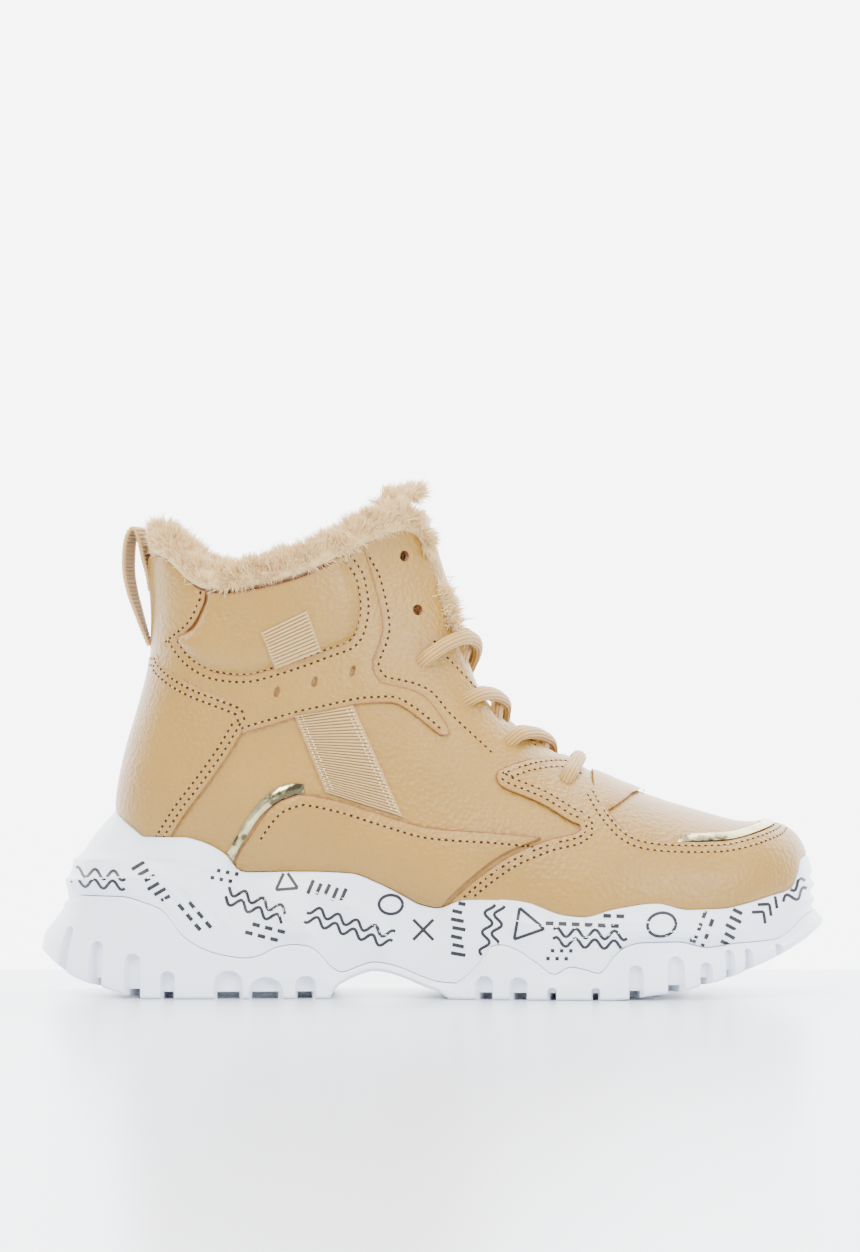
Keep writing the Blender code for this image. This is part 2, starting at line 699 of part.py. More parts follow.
def block(points, faces, corner, edges):
    """Adds a box with edges as three vectors from one corner."""
    a, b, c = [np.asarray(e, float) for e in edges]
    base = len(points)
    for i in (0, 1):
        for j in (0, 1):
            for k in (0, 1):
                points.append(tuple(np.asarray(corner, float) + a * i + b * j + c * k))
    for quad in ((0, 1, 3, 2), (4, 6, 7, 5), (0, 4, 5, 1), (2, 3, 7, 6), (0, 2, 6, 4), (1, 5, 7, 3)):
        faces.append([base + q for q in quad])


def arch_tool(points, faces, spot, way, width, reach, low, high):
    """Adds an upright cutter with a round top, drawn along one direction."""
    side = np.array([-way[1], way[0]])
    radius = width / 2
    straight = max(high - radius, low + 0.001)
    profile = [(-radius, low), (radius, low), (radius, straight)]
    for k in (1, 2):
        turn = math.pi * k / 3
        profile.append((radius * math.cos(turn), straight + radius * math.sin(turn)))
    profile.append((-radius, straight))
    base, count = len(points), len(profile)
    for far in (-0.006, reach):
        for across, z in profile:
            x, y = spot + way * far + side * across
            points.append((x, y, z))
    faces.append([base + k for k in range(count)])
    faces.append([base + count + k for k in reversed(range(count))])
    for k in range(count):
        n = (k + 1) % count
        faces.append((base + k, base + n, base + count + n, base + count + k))


def outsole_cutters():
    """Side notches in one cutter, the grooves of the tread in another."""
    ring, inward = sole_ring()
    notch_points, notch_faces, groove_points, groove_faces = [], [], [], []
    for x, width, top in NOTCHES:
        for side in (LATERAL, MEDIAL):
            spot, way = ring_frame(ring, inward, x, side)
            low = float(read_line(UNDERSIDE, x))
            lean = np.interp(x, [0, 0.14], [HEEL_LEAN, SIDE_LEAN])
            arch_tool(notch_points, notch_faces, spot, way, width, NOTCH_DEPTH + lean * 0.5,
                      low - 0.004, float(level(top)))
            across = np.array([-way[1], way[0]]) * (width - 0.0006)
            corner = spot - way * 0.005 - across / 2
            block(groove_points, groove_faces, (*corner, low - 0.004),
                  ((*(way * (TREAD_REACH + 0.005)), 0), (*across, 0), (0, 0, 0.004 + TREAD_DEPTH)))
    return (object_of("notches", notch_points, notch_faces),
            object_of("grooves", groove_points, groove_faces))


def chevron_cutter():
    """Slanted grooves across the middle of the tread, clear of the side notches."""
    points, faces = [], []
    for x, slant in CHEVRONS:
        for side in (LATERAL, MEDIAL):
            start = np.array([float(along(x)), side * 0.002])
            tip = np.array([float(along(x + slant)), side * 0.024])
            way = tip - start
            across = np.array([-way[1], way[0]]) / np.linalg.norm(way) * TREAD_WIDTH * 0.5
            block(points, faces, (*(start - across / 2), float(read_line(UNDERSIDE, x)) - 0.004),
                  ((*way, 0), (*across, 0), (0, 0, 0.004 + TREAD_DEPTH * 0.7)))
    return object_of("chevrons", points, faces)


def step_rib(name, line, side, tree):
    """A raised step along a slanting line: sharp on its front edge, fading out behind."""
    knots = spline([(float(along(x)), float(level(h))) for x, h in line], 3)
    points, faces = [], []
    way = np.gradient(knots, axis=0)
    way /= np.linalg.norm(way, axis=1, keepdims=True)
    rows = []
    for k, ((x, z), (dx, dz)) in enumerate(zip(knots, way)):
        height = 0.0003 + RIB_HEIGHT * math.sin(math.pi * (k + 0.4) / len(knots)) ** 0.5
        front = (x, z)
        back = (x + dz * RIB_WIDTH, z - dx * RIB_WIDTH)
        row = []
        for (px, pz), rise in ((front, -0.002), (front, height), (back, 0.0002), (back, -0.002)):
            start = Vector((px, side * 0.12, pz))
            hit = tree.ray_cast(start, Vector((0, -side, 0)), 0.2)
            y = hit[0].y if hit[0] else side * 0.04
            row.append((px, y + side * rise, pz))
        rows.append(row)
    for row in rows:
        points += row
    for r in range(len(rows) - 1):
        for k in range(4):
            n = (k + 1) % 4
            faces.append((r * 4 + k, r * 4 + n, r * 4 + 4 + n, r * 4 + 4 + k))
    faces.append((0, 1, 2, 3))
    last = (len(rows) - 1) * 4
    faces.append((last + 3, last + 2, last + 1, last))
    return object_of(name, points, faces)


def build_sole(tree):
    outsole = outsole_solid()
    notches, grooves = outsole_cutters()
    combine(outsole, notches, "DIFFERENCE")
    combine(outsole, grooves, "DIFFERENCE")
    combine(outsole, chevron_cutter(), "DIFFERENCE")
    tidy(outsole)

    midsole = midsole_solid("midsole", tree, look=RUBBER)
    side_tree = BVHTree.FromPolygons(
        [v.co.copy() for v in midsole.data.vertices], [tuple(p.vertices) for p in midsole.data.polygons]
    )
    for k, line in enumerate(STEP_LINES):
        for side in (LATERAL, MEDIAL):
            combine(midsole, step_rib(f"rib{k}", line, side, side_tree), "UNION")
    combine(midsole, form_solid("hollow", GAP), "DIFFERENCE")
    tidy(midsole)
    return outsole, midsole


# The upper and what lies on it


def dorsal_line(first=0.0, last=1.0, count=24):
    """Points on the front ridge of the form with their outward directions, in side view."""
    grid = form_grid(80, 8)
    ridge = grid[:, 4][:, [0, 2]]
    place = np.linspace(first, last, count) * (len(ridge) - 1)
    index = np.arange(len(ridge))
    spots = np.array([np.interp(place, index, ridge[:, k]) for k in (0, 1)]).T
    way = np.gradient(spots, axis=0)
    way /= np.linalg.norm(way, axis=1, keepdims=True)
    out = np.stack([way[:, 1], -way[:, 0]], 1)
    out *= np.sign(out[:, :1] + out[:, 1:])
    return spots, out


def throat_start():
    """Share along the ridge where the throat begins, just ahead of the lowest eyelets."""
    spots, _ = dorsal_line(0, 1, 200)
    target = float(along(EYELETS[-1][0] + 0.012))
    return float(np.argmin(abs(spots[:, 0] - target) + 10 * (spots[:, 1] > level(1.3)))) / 199


def throat_cutter():
    """The slit down the front, round at its foot."""
    spots, out = dorsal_line(throat_start(), 1.0, 14)
    points, faces = [], []
    for k, ((x, z), (nx, nz)) in enumerate(zip(spots, out)):
        grow = math.sqrt(min(1.0, (k + 0.25) / 2.5))
        rise = min(1.0, 1.6 * k / (len(spots) - 1))
        half = grow * (THROAT_FOOT_WIDTH + (THROAT_WIDTH - THROAT_FOOT_WIDTH) * rise) / 2
        for rise in (-0.016, 0.016):
            for y in (-half, half):
                points.append((x + nx * rise, y, z + nz * rise))
    for k in range(len(spots) - 1):
        base = 4 * k
        for a, b in ((0, 1), (1, 3), (3, 2), (2, 0)):
            faces.append((base + a, base + b, base + 4 + b, base + 4 + a))
    faces.append((0, 1, 3, 2))
    last = 4 * (len(spots) - 1)
    faces.append((last + 2, last + 3, last + 1, last))
    return object_of("throat", points, faces)


def collar_cutter():
    line = [(x, h) for x, h in COLLAR_LINE]
    line += [(0.70, 1.500), (0.70, 2.3), (0.02, 2.3), (0.02, 1.757)]
    return prism("above_collar", line, -0.09, 0.09)


def bottom_cutter():
    """The opening under the foot, inside the margin that is turned in under the insole."""
    rows = section_rows(30)
    picked = [row for row in rows if share(row[0]) < 0.95 and row[1] < level(0.60)]
    points, faces = [], []
    for low_x, low_z, high_x, high_z, half, sway, *_ in picked:
        reach = half - BOTTOM_MARGIN
        x = float(np.clip(low_x, along(0.15), along(0.93)))
        for z in (low_z - 0.02, low_z + 0.006):
            for side in (LATERAL, MEDIAL):
                points.append((x, sway + side * reach, z))
    for k in range(len(picked) - 1):
        base = 4 * k
        for a, b in ((0, 1), (1, 3), (3, 2), (2, 0)):
            faces.append((base + a, base + b, base + 4 + b, base + 4 + a))
    faces.append((0, 1, 3, 2))
    last = 4 * (len(picked) - 1)
    faces.append((last + 2, last + 3, last + 1, last))
    return object_of("bottom_opening", points, faces)


def surface_hit(tree, x, z, side):
    start = Vector((x, side * 0.12, z))
    hit = tree.ray_cast(start, Vector((0, -side, 0)), 0.24)
    if hit[0] is None:
        raise ValueError(f"no surface at {x:.3f} {z:.3f}")
    return hit[0], hit[1]


def eyelet_spot(tree, row, side):
    x, height = row
    return surface_hit(tree, float(along(x)), float(level(height)), side)


def eyelet_cutter(tree):
    points, faces = [], []
    for row in EYELETS:
        for side in (LATERAL, MEDIAL):
            spot, normal = eyelet_spot(tree, row, side)
            if normal.y * side < 0:
                normal = -normal
            across = normal.orthogonal().normalized()
            other = normal.cross(across)
            base = len(points)
            for depth in (-0.006, 0.006):
                for k in range(EYELET_SIDES):
                    turn = 2 * math.pi * (k + 0.5) / EYELET_SIDES
                    ring = across * math.cos(turn) + other * math.sin(turn)
                    points.append(tuple(spot + normal * depth + ring * EYELET / 2))
            top = base + EYELET_SIDES
            faces.append([base + k for k in range(EYELET_SIDES)])
            faces.append([top + k for k in reversed(range(EYELET_SIDES))])
            for k in range(EYELET_SIDES):
                n = (k + 1) % EYELET_SIDES
                faces.append((base + k, base + n, top + n, top + k))
    return object_of("eyelet_holes", points, faces)


def build_upper(tree):
    upper = form_solid("upper", 0.0)
    upper.data.materials.append(material_of(LEATHER))
    combine(upper, form_solid("inside", -WALL, lift=0.004), "DIFFERENCE")
    combine(upper, collar_cutter(), "DIFFERENCE")
    combine(upper, throat_cutter(), "DIFFERENCE")
    combine(upper, bottom_cutter(), "DIFFERENCE")
    combine(upper, eyelet_cutter(tree), "DIFFERENCE")
    return tidy(upper)


def overlay(name, outline, sides, lift, thickness, look, cup, throat=None, holes=None):
    """A piece laid on the upper: its outline cut out of a skin over the form, and its lower
    edge trimmed to the rim of the midsole."""
    reach = 0.12
    low, high = {"both": (-reach, reach), LATERAL: (-reach, 0.0), MEDIAL: (0.0, reach)}[sides]
    piece = skin_solid(name, lift + thickness, lift)
    combine(piece, cup, "DIFFERENCE", keep=True)
    combine(piece, prism("outline", outline, low, high), "INTERSECT")
    if throat:
        combine(piece, throat, "DIFFERENCE", keep=True)
    if holes:
        combine(piece, holes, "DIFFERENCE", keep=True)
    piece.data.materials.clear()
    piece.data.materials.append(material_of(look))
    return tidy(piece)


def build_overlays(tree):
    cup = midsole_solid("cup_clearance", tree, grow=0.0004)
    throat = throat_cutter()
    top = collar_cutter()
    holes = eyelet_cutter(tree)
    combine(throat, top, "UNION")
    overlay("heel_counter", HEEL_COUNTER, "both", GAP, OVERLAY, LEATHER, cup)
    overlay("toe_guard", TOE_GUARD, "both", GAP, OVERLAY, LEATHER, cup)
    overlay("toe_trim", TOE_TRIM, "both", GAP, TRIM, GOLD, cup)
    overlay("eyestay", EYESTAY, "both", GAP, OVERLAY, LEATHER, cup, throat, holes)
    for side, word in ((LATERAL, "outer"), (MEDIAL, "inner")):
        overlay(f"midfoot_strap_{word}", MIDFOOT_STRAP, side, GAP, OVERLAY, LEATHER, cup)
        overlay(f"foxing_{word}", FOXING, side, GAP, OVERLAY, LEATHER, cup)
        overlay(f"collar_pad_{word}", COLLAR_PAD, side, GAP, PAD, LEATHER, cup)
        overlay(f"side_trim_{word}", SIDE_TRIM, side, GAP, TRIM + OVERLAY / 2, GOLD, cup)
        overlay(f"side_webbing_{word}", SIDE_TAB, side, GAP, WEBBING, TAPE, cup)
        overlay(f"collar_tab_{word}", COLLAR_TAB, side, 2 * GAP + PAD, WEBBING, TAPE, cup)
    for tool in (cup, throat, holes):
        drop(tool)


def row_of_high(height):
    """The first row of the form's rings whose high point is above a level."""
    rows = section_rows(FORM_ROWS)
    return int(np.argmax(rows[:, 3] > level(height)))


def build_tongue():
    under = WALL + SEAT
    tongue = patch_solid("tongue", row_of_high(1.06), row_of_high(1.905), "high", TONGUE_COLUMNS,
                         -under, -under - TONGUE, LEATHER)
    return tidy(tongue)


def build_insole():
    last = int(np.argmax(section_rows(FORM_ROWS)[:, 0] < along(0.150)))
    under = WALL + SEAT
    insole = patch_solid("insole", 2, last, "low", FORM_COLUMNS // 6, -under, -under - INSOLE, FELT)
    return tidy(insole)


# Fur, laces and the pull loop


def collar_edge(count):
    """Points on the form where it meets the top line of the leather, from the front on the
    outer side round the back to the front on the inner side. Each row holds the point, the
    outward direction and the point on the form where the lining's skirt ends."""
    grid = form_grid()
    normals = grid_normals(grid)
    both = np.concatenate([grid, normals], axis=2)[FORM_ROWS // 2:]
    edge = []
    half = FORM_COLUMNS // 2
    for turn in np.arange(half, -half, -EDGE_STEP):
        left = int(math.floor(turn))
        part = turn - left
        line = both[:, left % FORM_COLUMNS] * (1 - part) + both[:, (left + 1) % FORM_COLUMNS] * part
        place = np.linspace(0, len(line) - 1, 80)
        column = np.array([np.interp(place, np.arange(len(line)), c) for c in line.T]).T
        over = column[:, 2] - read_line(COLLAR_LINE, share(column[:, 0]))
        above = np.nonzero((over[1:] >= 0) & (over[:-1] < 0))[0]
        if len(above):
            i = above[0]
            t = -over[i] / (over[i + 1] - over[i])
            spot = column[i] + (column[i + 1] - column[i]) * t
            foot = [np.interp(spot[2] - FUR_SKIRT, column[:, 2], column[:, c]) for c in range(3)]
            edge.append(np.concatenate([spot, foot]))
    edge = np.array(edge)
    keep = np.abs(edge[:, 1]) > np.where(edge[:, 0] > 0 * edge[:, 0] - 0.03, THROAT_WIDTH * 0.62, 0)
    edge = edge[keep]
    run = np.concatenate([[0], np.cumsum(np.linalg.norm(np.diff(edge[:, :3], axis=0), axis=1))])
    pick = np.linspace(0, run[-1], count)
    return np.array([np.interp(pick, run, column) for column in edge.T]).T


def build_fur_collar():
    """A thick roll of pile on the collar with a skirt inside, its locks pushed out in turn."""
    count = FUR_STEPS
    edge = collar_edge(count)
    under = WALL + SEAT
    rows = []
    for k, (x, y, z, nx, ny, nz, *foot) in enumerate(edge):
        end = min(k, count - 1 - k) / 6
        full = min(1.0, 0.35 + 0.65 * end, max(0.05, (abs(y) - LOOP_WIDTH * 0.6) / FUR_DEPTH))
        deep = max(0.0, min(1.0, end - 1.2))
        lock = LOCK * ((k % 2) * 1.0 + 0.4 * math.sin(k * 2.4))
        other = LOCK * (((k + 1) % 2) * 1.0 + 0.4 * math.sin(k * 1.7 + 1))
        rise = FUR_RISE * (0.92 + 0.16 * math.sin(k * 0.9)) * min(1.0, 0.6 + 0.4 * end)
        slim = under - 0.0008
        back = slim + (under - slim) * min(1.0, deep * 4)
        depth = slim + (FUR_DEPTH - slim) * deep
        top = np.array([x, y, z + SEAT])
        hem = np.array(foot) if deep > 0.3 else top - np.array([0, 0, 0.0006])
        profile = (
            (0.0004, SEAT),
            ((FUR_BULGE + lock) * full, 0.25 * rise),
            ((FUR_BULGE + other) * full * 0.9, 0.65 * rise + lock * 0.3),
            (-0.001 + lock * 0.3, rise + other * 0.4),
            (-depth * 0.55 - 0.001, rise * 0.98 + lock * 0.4),
            (-depth - (0.0012 + other * 0.4) * deep, 0.5 * rise),
        )
        out = np.array([nx, ny, 0])
        out /= np.linalg.norm(out)
        row = [np.array([x, y, z + upwards]) + out * outwards for outwards, upwards in profile]
        row.append(hem - out * (depth + 0.0012 * deep + 0.0001))
        row.append(hem - out * back + np.array([0, 0, 0.0001]))
        row.append(top - out * back)
        rows.append(row)
    points = [p for row in rows for p in row]
    size = len(rows[0])
    faces = []
    for r in range(count - 1):
        for k in range(size):
            n = (k + 1) % size
            faces.append((r * size + k, r * size + n, (r + 1) * size + n, (r + 1) * size + k))
    faces.append(list(range(size)))
    faces.append([(count - 1) * size + k for k in reversed(range(size))])
    return tidy(object_of("fur_collar", points, faces, FUR))


def build_tongue_fur():
    """The pile that lines the tongue and stands above its top edge."""
    under = WALL + SEAT + TONGUE + SEAT
    piece = patch_solid("tongue_fur", row_of_high(1.52), FORM_ROWS - 1, "high", TONGUE_COLUMNS,
                        -under, -under - TONGUE_PILE, FUR)
    return tidy(piece)


def tube(name, centre, normals, width, thickness, look, sides=6):
    """A flat oval cord along a line of points, its flat side facing the normals."""
    centre = np.asarray(centre, float)
    way = np.gradient(centre, axis=0)
    way /= np.linalg.norm(way, axis=1, keepdims=True)
    points, faces = [], []
    for spot, tangent, normal in zip(centre, way, np.asarray(normals, float)):
        across = np.cross(tangent, normal)
        across /= np.linalg.norm(across)
        up = np.cross(across, tangent)
        for k in range(sides):
            turn = 2 * math.pi * (k + 0.5) / sides
            points.append(tuple(spot + across * math.cos(turn) * width / 2 + up * math.sin(turn) * thickness / 2))
    for r in range(len(centre) - 1):
        for k in range(sides):
            n = (k + 1) % sides
            faces.append((r * sides + k, r * sides + n, (r + 1) * sides + n, (r + 1) * sides + k))
    faces.append(list(range(sides)))
    faces.append([(len(centre) - 1) * sides + k for k in reversed(range(sides))])
    return object_of(name, points, faces, look)


def lace_path(tree, start, finish, side, rise, reach=0.96, sink=0.0):
    """Centre line of a lace over the throat, from beside one eyelet towards another. Where
    it goes under the far edge of the throat it stops short and sinks."""
    a, _ = eyelet_spot(tree, start, side)
    b, _ = eyelet_spot(tree, finish, -side)
    a, b = np.array(a), np.array(b)
    centre, normals = [], []
    inside = np.array([-0.02, 0, -0.03]) + (a + b) / 2 * np.array([1, 0, 1])
    for t in np.linspace(0.04, reach, LACE_STEPS):
        flat = a + (b - a) * t
        way = flat - inside
        way /= np.linalg.norm(way)
        hit = tree.ray_cast(Vector(flat + way * 0.05), Vector(-way), 0.1)
        skin = np.array(hit[0]) if hit[0] else flat
        normal = np.array(hit[1]) if hit[0] else way
        if normal @ way < 0:
            normal = -normal
        lift = GAP + OVERLAY + GAP + LACE_THICKNESS / 2 + 0.0004 + rise * math.sin(math.pi * t) ** 2
        lift -= sink * max(0.0, t / reach - LACE_LEVEL) ** 1.5 / (1 - LACE_LEVEL) ** 1.5
        centre.append(skin + normal * lift)
        normals.append(normal)
    return centre, normals


def build_laces(tree):
    bar = lace_path(tree, EYELETS[5], EYELETS[5], LATERAL, 0.0004)
    tidy(tube("lace_bar", *bar, LACE_WIDTH, LACE_THICKNESS, LACE))
    for k, reach in enumerate(LACE_REACH):
        start, finish = EYELETS[k + 2], EYELETS[k + 3]
        low = lace_path(tree, start, finish, MEDIAL, 0.0002, reach, LACE_SINK)
        over = lace_path(tree, start, finish, LATERAL, LACE_THICKNESS * 0.8, reach, LACE_SINK)
        cross = tube(f"lace_cross_{k + 1}", *low, LACE_WIDTH, LACE_THICKNESS, LACE)
        combine(cross, tube("strand", *over, LACE_WIDTH, LACE_THICKNESS, LACE), "UNION")
        tidy(cross)


def build_pull_loop():
    line = spline([(float(along(x)), float(level(h))) for x, h in LOOP_LINE], 2)
    centre = [(x, 0.0, z) for x, z in line]
    way = np.gradient(line, axis=0)
    points, faces = [], []
    for (x, _, z), (dx, dz) in zip(centre, way):
        size = math.hypot(dx, dz)
        ox, oz = -dz / size * LOOP_THICKNESS / 2, dx / size * LOOP_THICKNESS / 2
        for sign, y in ((1, -1), (1, 1), (-1, 1), (-1, -1)):
            points.append((x + sign * ox, y * LOOP_WIDTH / 2, z + sign * oz))
    for r in range(len(centre) - 1):
        for k in range(4):
            n = (k + 1) % 4
            faces.append((r * 4 + k, r * 4 + n, r * 4 + 4 + n, r * 4 + 4 + k))
    faces.append((0, 1, 2, 3))
    last = 4 * (len(centre) - 1)
    faces.append((last + 3, last + 2, last + 1, last))
    return tidy(object_of("pull_loop", points, faces, TAPE))


def centre_on_floor():
    """Moves the whole boot so that the middle of its box is over the origin, on the floor."""
    things = [thing for thing in bpy.data.objects if thing.type == "MESH"]
    spots = np.array([tuple(v.co) for thing in things for v in thing.data.vertices])
    low, high = spots.min(axis=0), spots.max(axis=0)
    middle = Vector(((low[0] + high[0]) / 2, (low[1] + high[1]) / 2, low[2]))
    for thing in things:
        for vertex in thing.data.vertices:
            vertex.co -= middle


def main():
    for thing in list(bpy.data.objects):
        bpy.data.objects.remove(thing)
    tree = form_tree()
    build_sole(tree)
    build_upper(tree)
    build_overlays(tree)
    build_insole()
    build_tongue()
    build_tongue_fur()
    build_fur_collar()
    build_laces(tree)
    build_pull_loop()
    centre_on_floor()


main()
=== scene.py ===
"""Looks of a lined hiking boot for the right foot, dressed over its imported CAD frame.

Every leather piece, the sole, the laces and the stitching are rebuilt at a fine resolution from
the same form as the frame: a stack of sections from toe to collar, grown by a lift for each
layer. The toe points along +X, the inner side of the foot is +Y and the floor is z = 0.
"""

import math

import bmesh
import bpy
import numpy as np
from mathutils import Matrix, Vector
from mathutils.bvhtree import BVHTree
from mathutils.kdtree import KDTree


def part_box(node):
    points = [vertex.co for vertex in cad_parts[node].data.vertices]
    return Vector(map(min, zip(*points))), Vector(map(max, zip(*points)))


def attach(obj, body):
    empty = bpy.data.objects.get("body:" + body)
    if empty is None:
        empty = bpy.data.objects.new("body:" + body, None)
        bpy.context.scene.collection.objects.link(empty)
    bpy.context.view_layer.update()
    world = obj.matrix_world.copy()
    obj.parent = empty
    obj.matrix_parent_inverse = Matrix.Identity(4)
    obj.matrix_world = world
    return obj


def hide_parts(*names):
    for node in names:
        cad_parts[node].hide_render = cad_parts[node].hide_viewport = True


bl_info = {
    "name": "Hiking boot looks",
    "version": (1, 0, 0),
    "blender": (4, 5, 0),
    "location": "3D View > Sidebar > Boot",
    "description": "Leather, moulded sole, pile, laces and stitching of a hiking boot",
    "category": "Object",
}

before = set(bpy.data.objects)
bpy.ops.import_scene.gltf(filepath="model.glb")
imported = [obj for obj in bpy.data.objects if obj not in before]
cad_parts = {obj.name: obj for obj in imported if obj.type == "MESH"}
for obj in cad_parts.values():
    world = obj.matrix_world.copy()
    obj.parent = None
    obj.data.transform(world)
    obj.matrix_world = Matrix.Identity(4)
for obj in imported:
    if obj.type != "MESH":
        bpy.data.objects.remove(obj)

# Overall sizes in metres, as in the frame
SOLE_LENGTH = 0.281
SOLE_HEIGHT = 0.066
SHAFT_HEIGHT = 0.120
BALL_WIDTH = 0.096
HEEL_WIDTH = 0.067
COLLAR_WIDTH = 0.074
SOLE_SPREAD = 0.0055
HEEL_FLARE = 0.0095
OUTSOLE_THICKNESS = 0.0085
SHELL = 0.0042
LEDGE = 0.0016
LIP = 0.0020
LIP_TURN = 0.006
EDGE_ROUND = 0.0016
SIDE_LEAN = 0.0020
HEEL_LEAN = 0.0080
NOTCH_DEPTH = 0.0030
TREAD_DEPTH = 0.0026
TREAD_REACH = 0.016
TREAD_WIDTH = 0.005
WALL = 0.0022
SEAT = 0.0005
GAP = 0.0003
BOTTOM_MARGIN = 0.011
THROAT_WIDTH = 0.030
THROAT_FOOT_WIDTH = 0.018
EYELET = 0.0040
INSOLE = 0.004
TONGUE = 0.0045
LOOP_WIDTH = 0.011

# How fine the form and the sole are
ROWS = 150
COLUMNS = 132
SOLE_STEPS = 16
SOLE_RINGS = 48

OVERLAY = 0.0012
PAD = 0.0022
TRIM = 0.0011
WEBBING = 0.0010
FUR_RISE = 0.0125
FUR_DEPTH = 0.010
FUR_BULGE = 0.0030
TONGUE_PILE = 0.007
LACE_WIDTH = 0.0050
LACE_THICKNESS = 0.0040
LOOP_THICKNESS = 0.0016

SECTIONS = (
    # low x, level, high x, level, width, of, sway, widest, low square, high square
    (0.968, 0.500, 0.978, 0.700, 0.30, "ball", 0.080, 0.50, 2.1, 2.1),
    (0.955, 0.420, 0.970, 0.803, 0.47, "ball", 0.075, 0.40, 2.5, 2.2),
    (0.930, 0.361, 0.955, 0.879, 0.61, "ball", 0.066, 0.34, 3.0, 2.3),
    (0.890, 0.311, 0.925, 0.927, 0.76, "ball", 0.050, 0.30, 3.2, 2.4),
    (0.845, 0.288, 0.885, 0.940, 0.87, "ball", 0.034, 0.28, 3.3, 2.3),
    (0.785, 0.273, 0.825, 1.008, 0.95, "ball", 0.018, 0.27, 3.3, 2.15),
    (0.720, 0.273, 0.757, 1.062, 1.00, "ball", 0.006, 0.26, 3.3, 2.05),
    (0.655, 0.280, 0.700, 1.117, 0.98, "ball", -0.003, 0.26, 3.2, 2.0),
    (0.585, 0.311, 0.650, 1.183, 0.91, "ball", -0.010, 0.28, 3.1, 1.95),
    (0.505, 0.371, 0.605, 1.267, 0.83, "ball", -0.016, 0.31, 3.0, 1.95),
    (0.420, 0.439, 0.573, 1.350, 0.77, "ball", -0.016, 0.35, 2.9, 2.0),
    (0.330, 0.492, 0.554, 1.458, 1.05, "heel", -0.010, 0.39, 2.8, 2.0),
    (0.240, 0.530, 0.543, 1.558, 1.03, "heel", -0.005, 0.42, 2.6, 1.95),
    (0.165, 0.556, 0.532, 1.658, 1.01, "heel", 0.0, 0.44, 2.4, 1.9),
    (0.120, 0.620, 0.522, 1.738, 1.00, "heel", 0.0, 0.45, 2.25, 1.9),
    (0.101, 0.818, 0.515, 1.792, 1.00, "heel", 0.0, 0.46, 2.2, 1.9),
    (0.099, 1.025, 0.510, 1.829, 1.00, "heel", 0.0, 0.47, 2.2, 1.9),
    (0.110, 1.158, 0.506, 1.858, 0.91, "collar", 0.0, 0.48, 2.2, 1.9),
    (0.127, 1.300, 0.502, 1.883, 0.92, "collar", 0.0, 0.48, 2.25, 1.9),
    (0.140, 1.433, 0.499, 1.908, 0.94, "collar", 0.0, 0.48, 2.3, 1.9),
    (0.144, 1.567, 0.496, 1.933, 0.97, "collar", 0.0, 0.48, 2.3, 1.95),
    (0.1415, 1.700, 0.494, 1.958, 1.00, "collar", 0.0, 0.48, 2.3, 1.95),
    (0.141, 1.850, 0.491, 1.992, 1.02, "collar", 0.0, 0.48, 2.3, 1.95),
)
TOE_POINT = (0.979, 0.600, 0.080)
NAMED_WIDTH = {"ball": BALL_WIDTH, "heel": HEEL_WIDTH, "collar": COLLAR_WIDTH}

# Plan outline of the sole: x, outer half and inner half as shares of half the sole's width
OUTLINE = (
    (0.008, 0.33, 0.33),
    (0.035, 0.65, 0.63),
    (0.085, 0.88, 0.86),
    (0.160, 1.00, 0.97),
    (0.260, 1.00, 0.97),
    (0.370, 0.93, 0.87),
    (0.470, 0.87, 0.80),
    (0.570, 0.92, 0.87),
    (0.670, 0.985, 0.98),
    (0.760, 0.98, 1.02),
    (0.840, 0.88, 0.99),
    (0.905, 0.73, 0.90),
    (0.950, 0.56, 0.76),
    (0.980, 0.35, 0.57),
    (0.994, 0.14, 0.38),
)
TOE_SWAY = 0.11

# Heights of the sole along its length, as x and level
UNDERSIDE = (
    (0.000, 0.235), (0.022, 0.164), (0.037, 0.120), (0.058, 0.085), (0.080, 0.060),
    (0.107, 0.028), (0.135, 0.000), (0.371, 0.000), (0.378, 0.060), (0.388, 0.090),
    (0.412, 0.136), (0.426, 0.150), (0.441, 0.142), (0.462, 0.115), (0.487, 0.069),
    (0.506, 0.040), (0.522, 0.000), (0.720, 0.000), (0.751, 0.010), (0.775, 0.026),
    (0.815, 0.045), (0.835, 0.069), (0.871, 0.110), (0.906, 0.167), (0.936, 0.218),
    (0.959, 0.265), (0.976, 0.305), (0.990, 0.345), (1.000, 0.365),
)
LEDGE_LINE = (
    (0.000, 0.500), (0.041, 0.545), (0.102, 0.544), (0.135, 0.512), (0.155, 0.480),
    (0.167, 0.432), (0.184, 0.340), (0.206, 0.276), (0.236, 0.233), (0.265, 0.217),
    (0.284, 0.233), (0.303, 0.273), (0.325, 0.289), (0.343, 0.281), (0.357, 0.244),
    (0.371, 0.174), (0.385, 0.140), (0.405, 0.170), (0.426, 0.195), (0.441, 0.187),
    (0.462, 0.160), (0.487, 0.114), (0.506, 0.090), (0.525, 0.085), (0.535, 0.110),
    (0.559, 0.211), (0.572, 0.287), (0.584, 0.292), (0.598, 0.276), (0.627, 0.201),
    (0.651, 0.136), (0.671, 0.176), (0.694, 0.158), (0.708, 0.142), (0.729, 0.238),
    (0.743, 0.284), (0.765, 0.305), (0.811, 0.308), (0.851, 0.276), (0.878, 0.292),
    (0.943, 0.313), (0.965, 0.360), (0.985, 0.430), (1.000, 0.455),
)
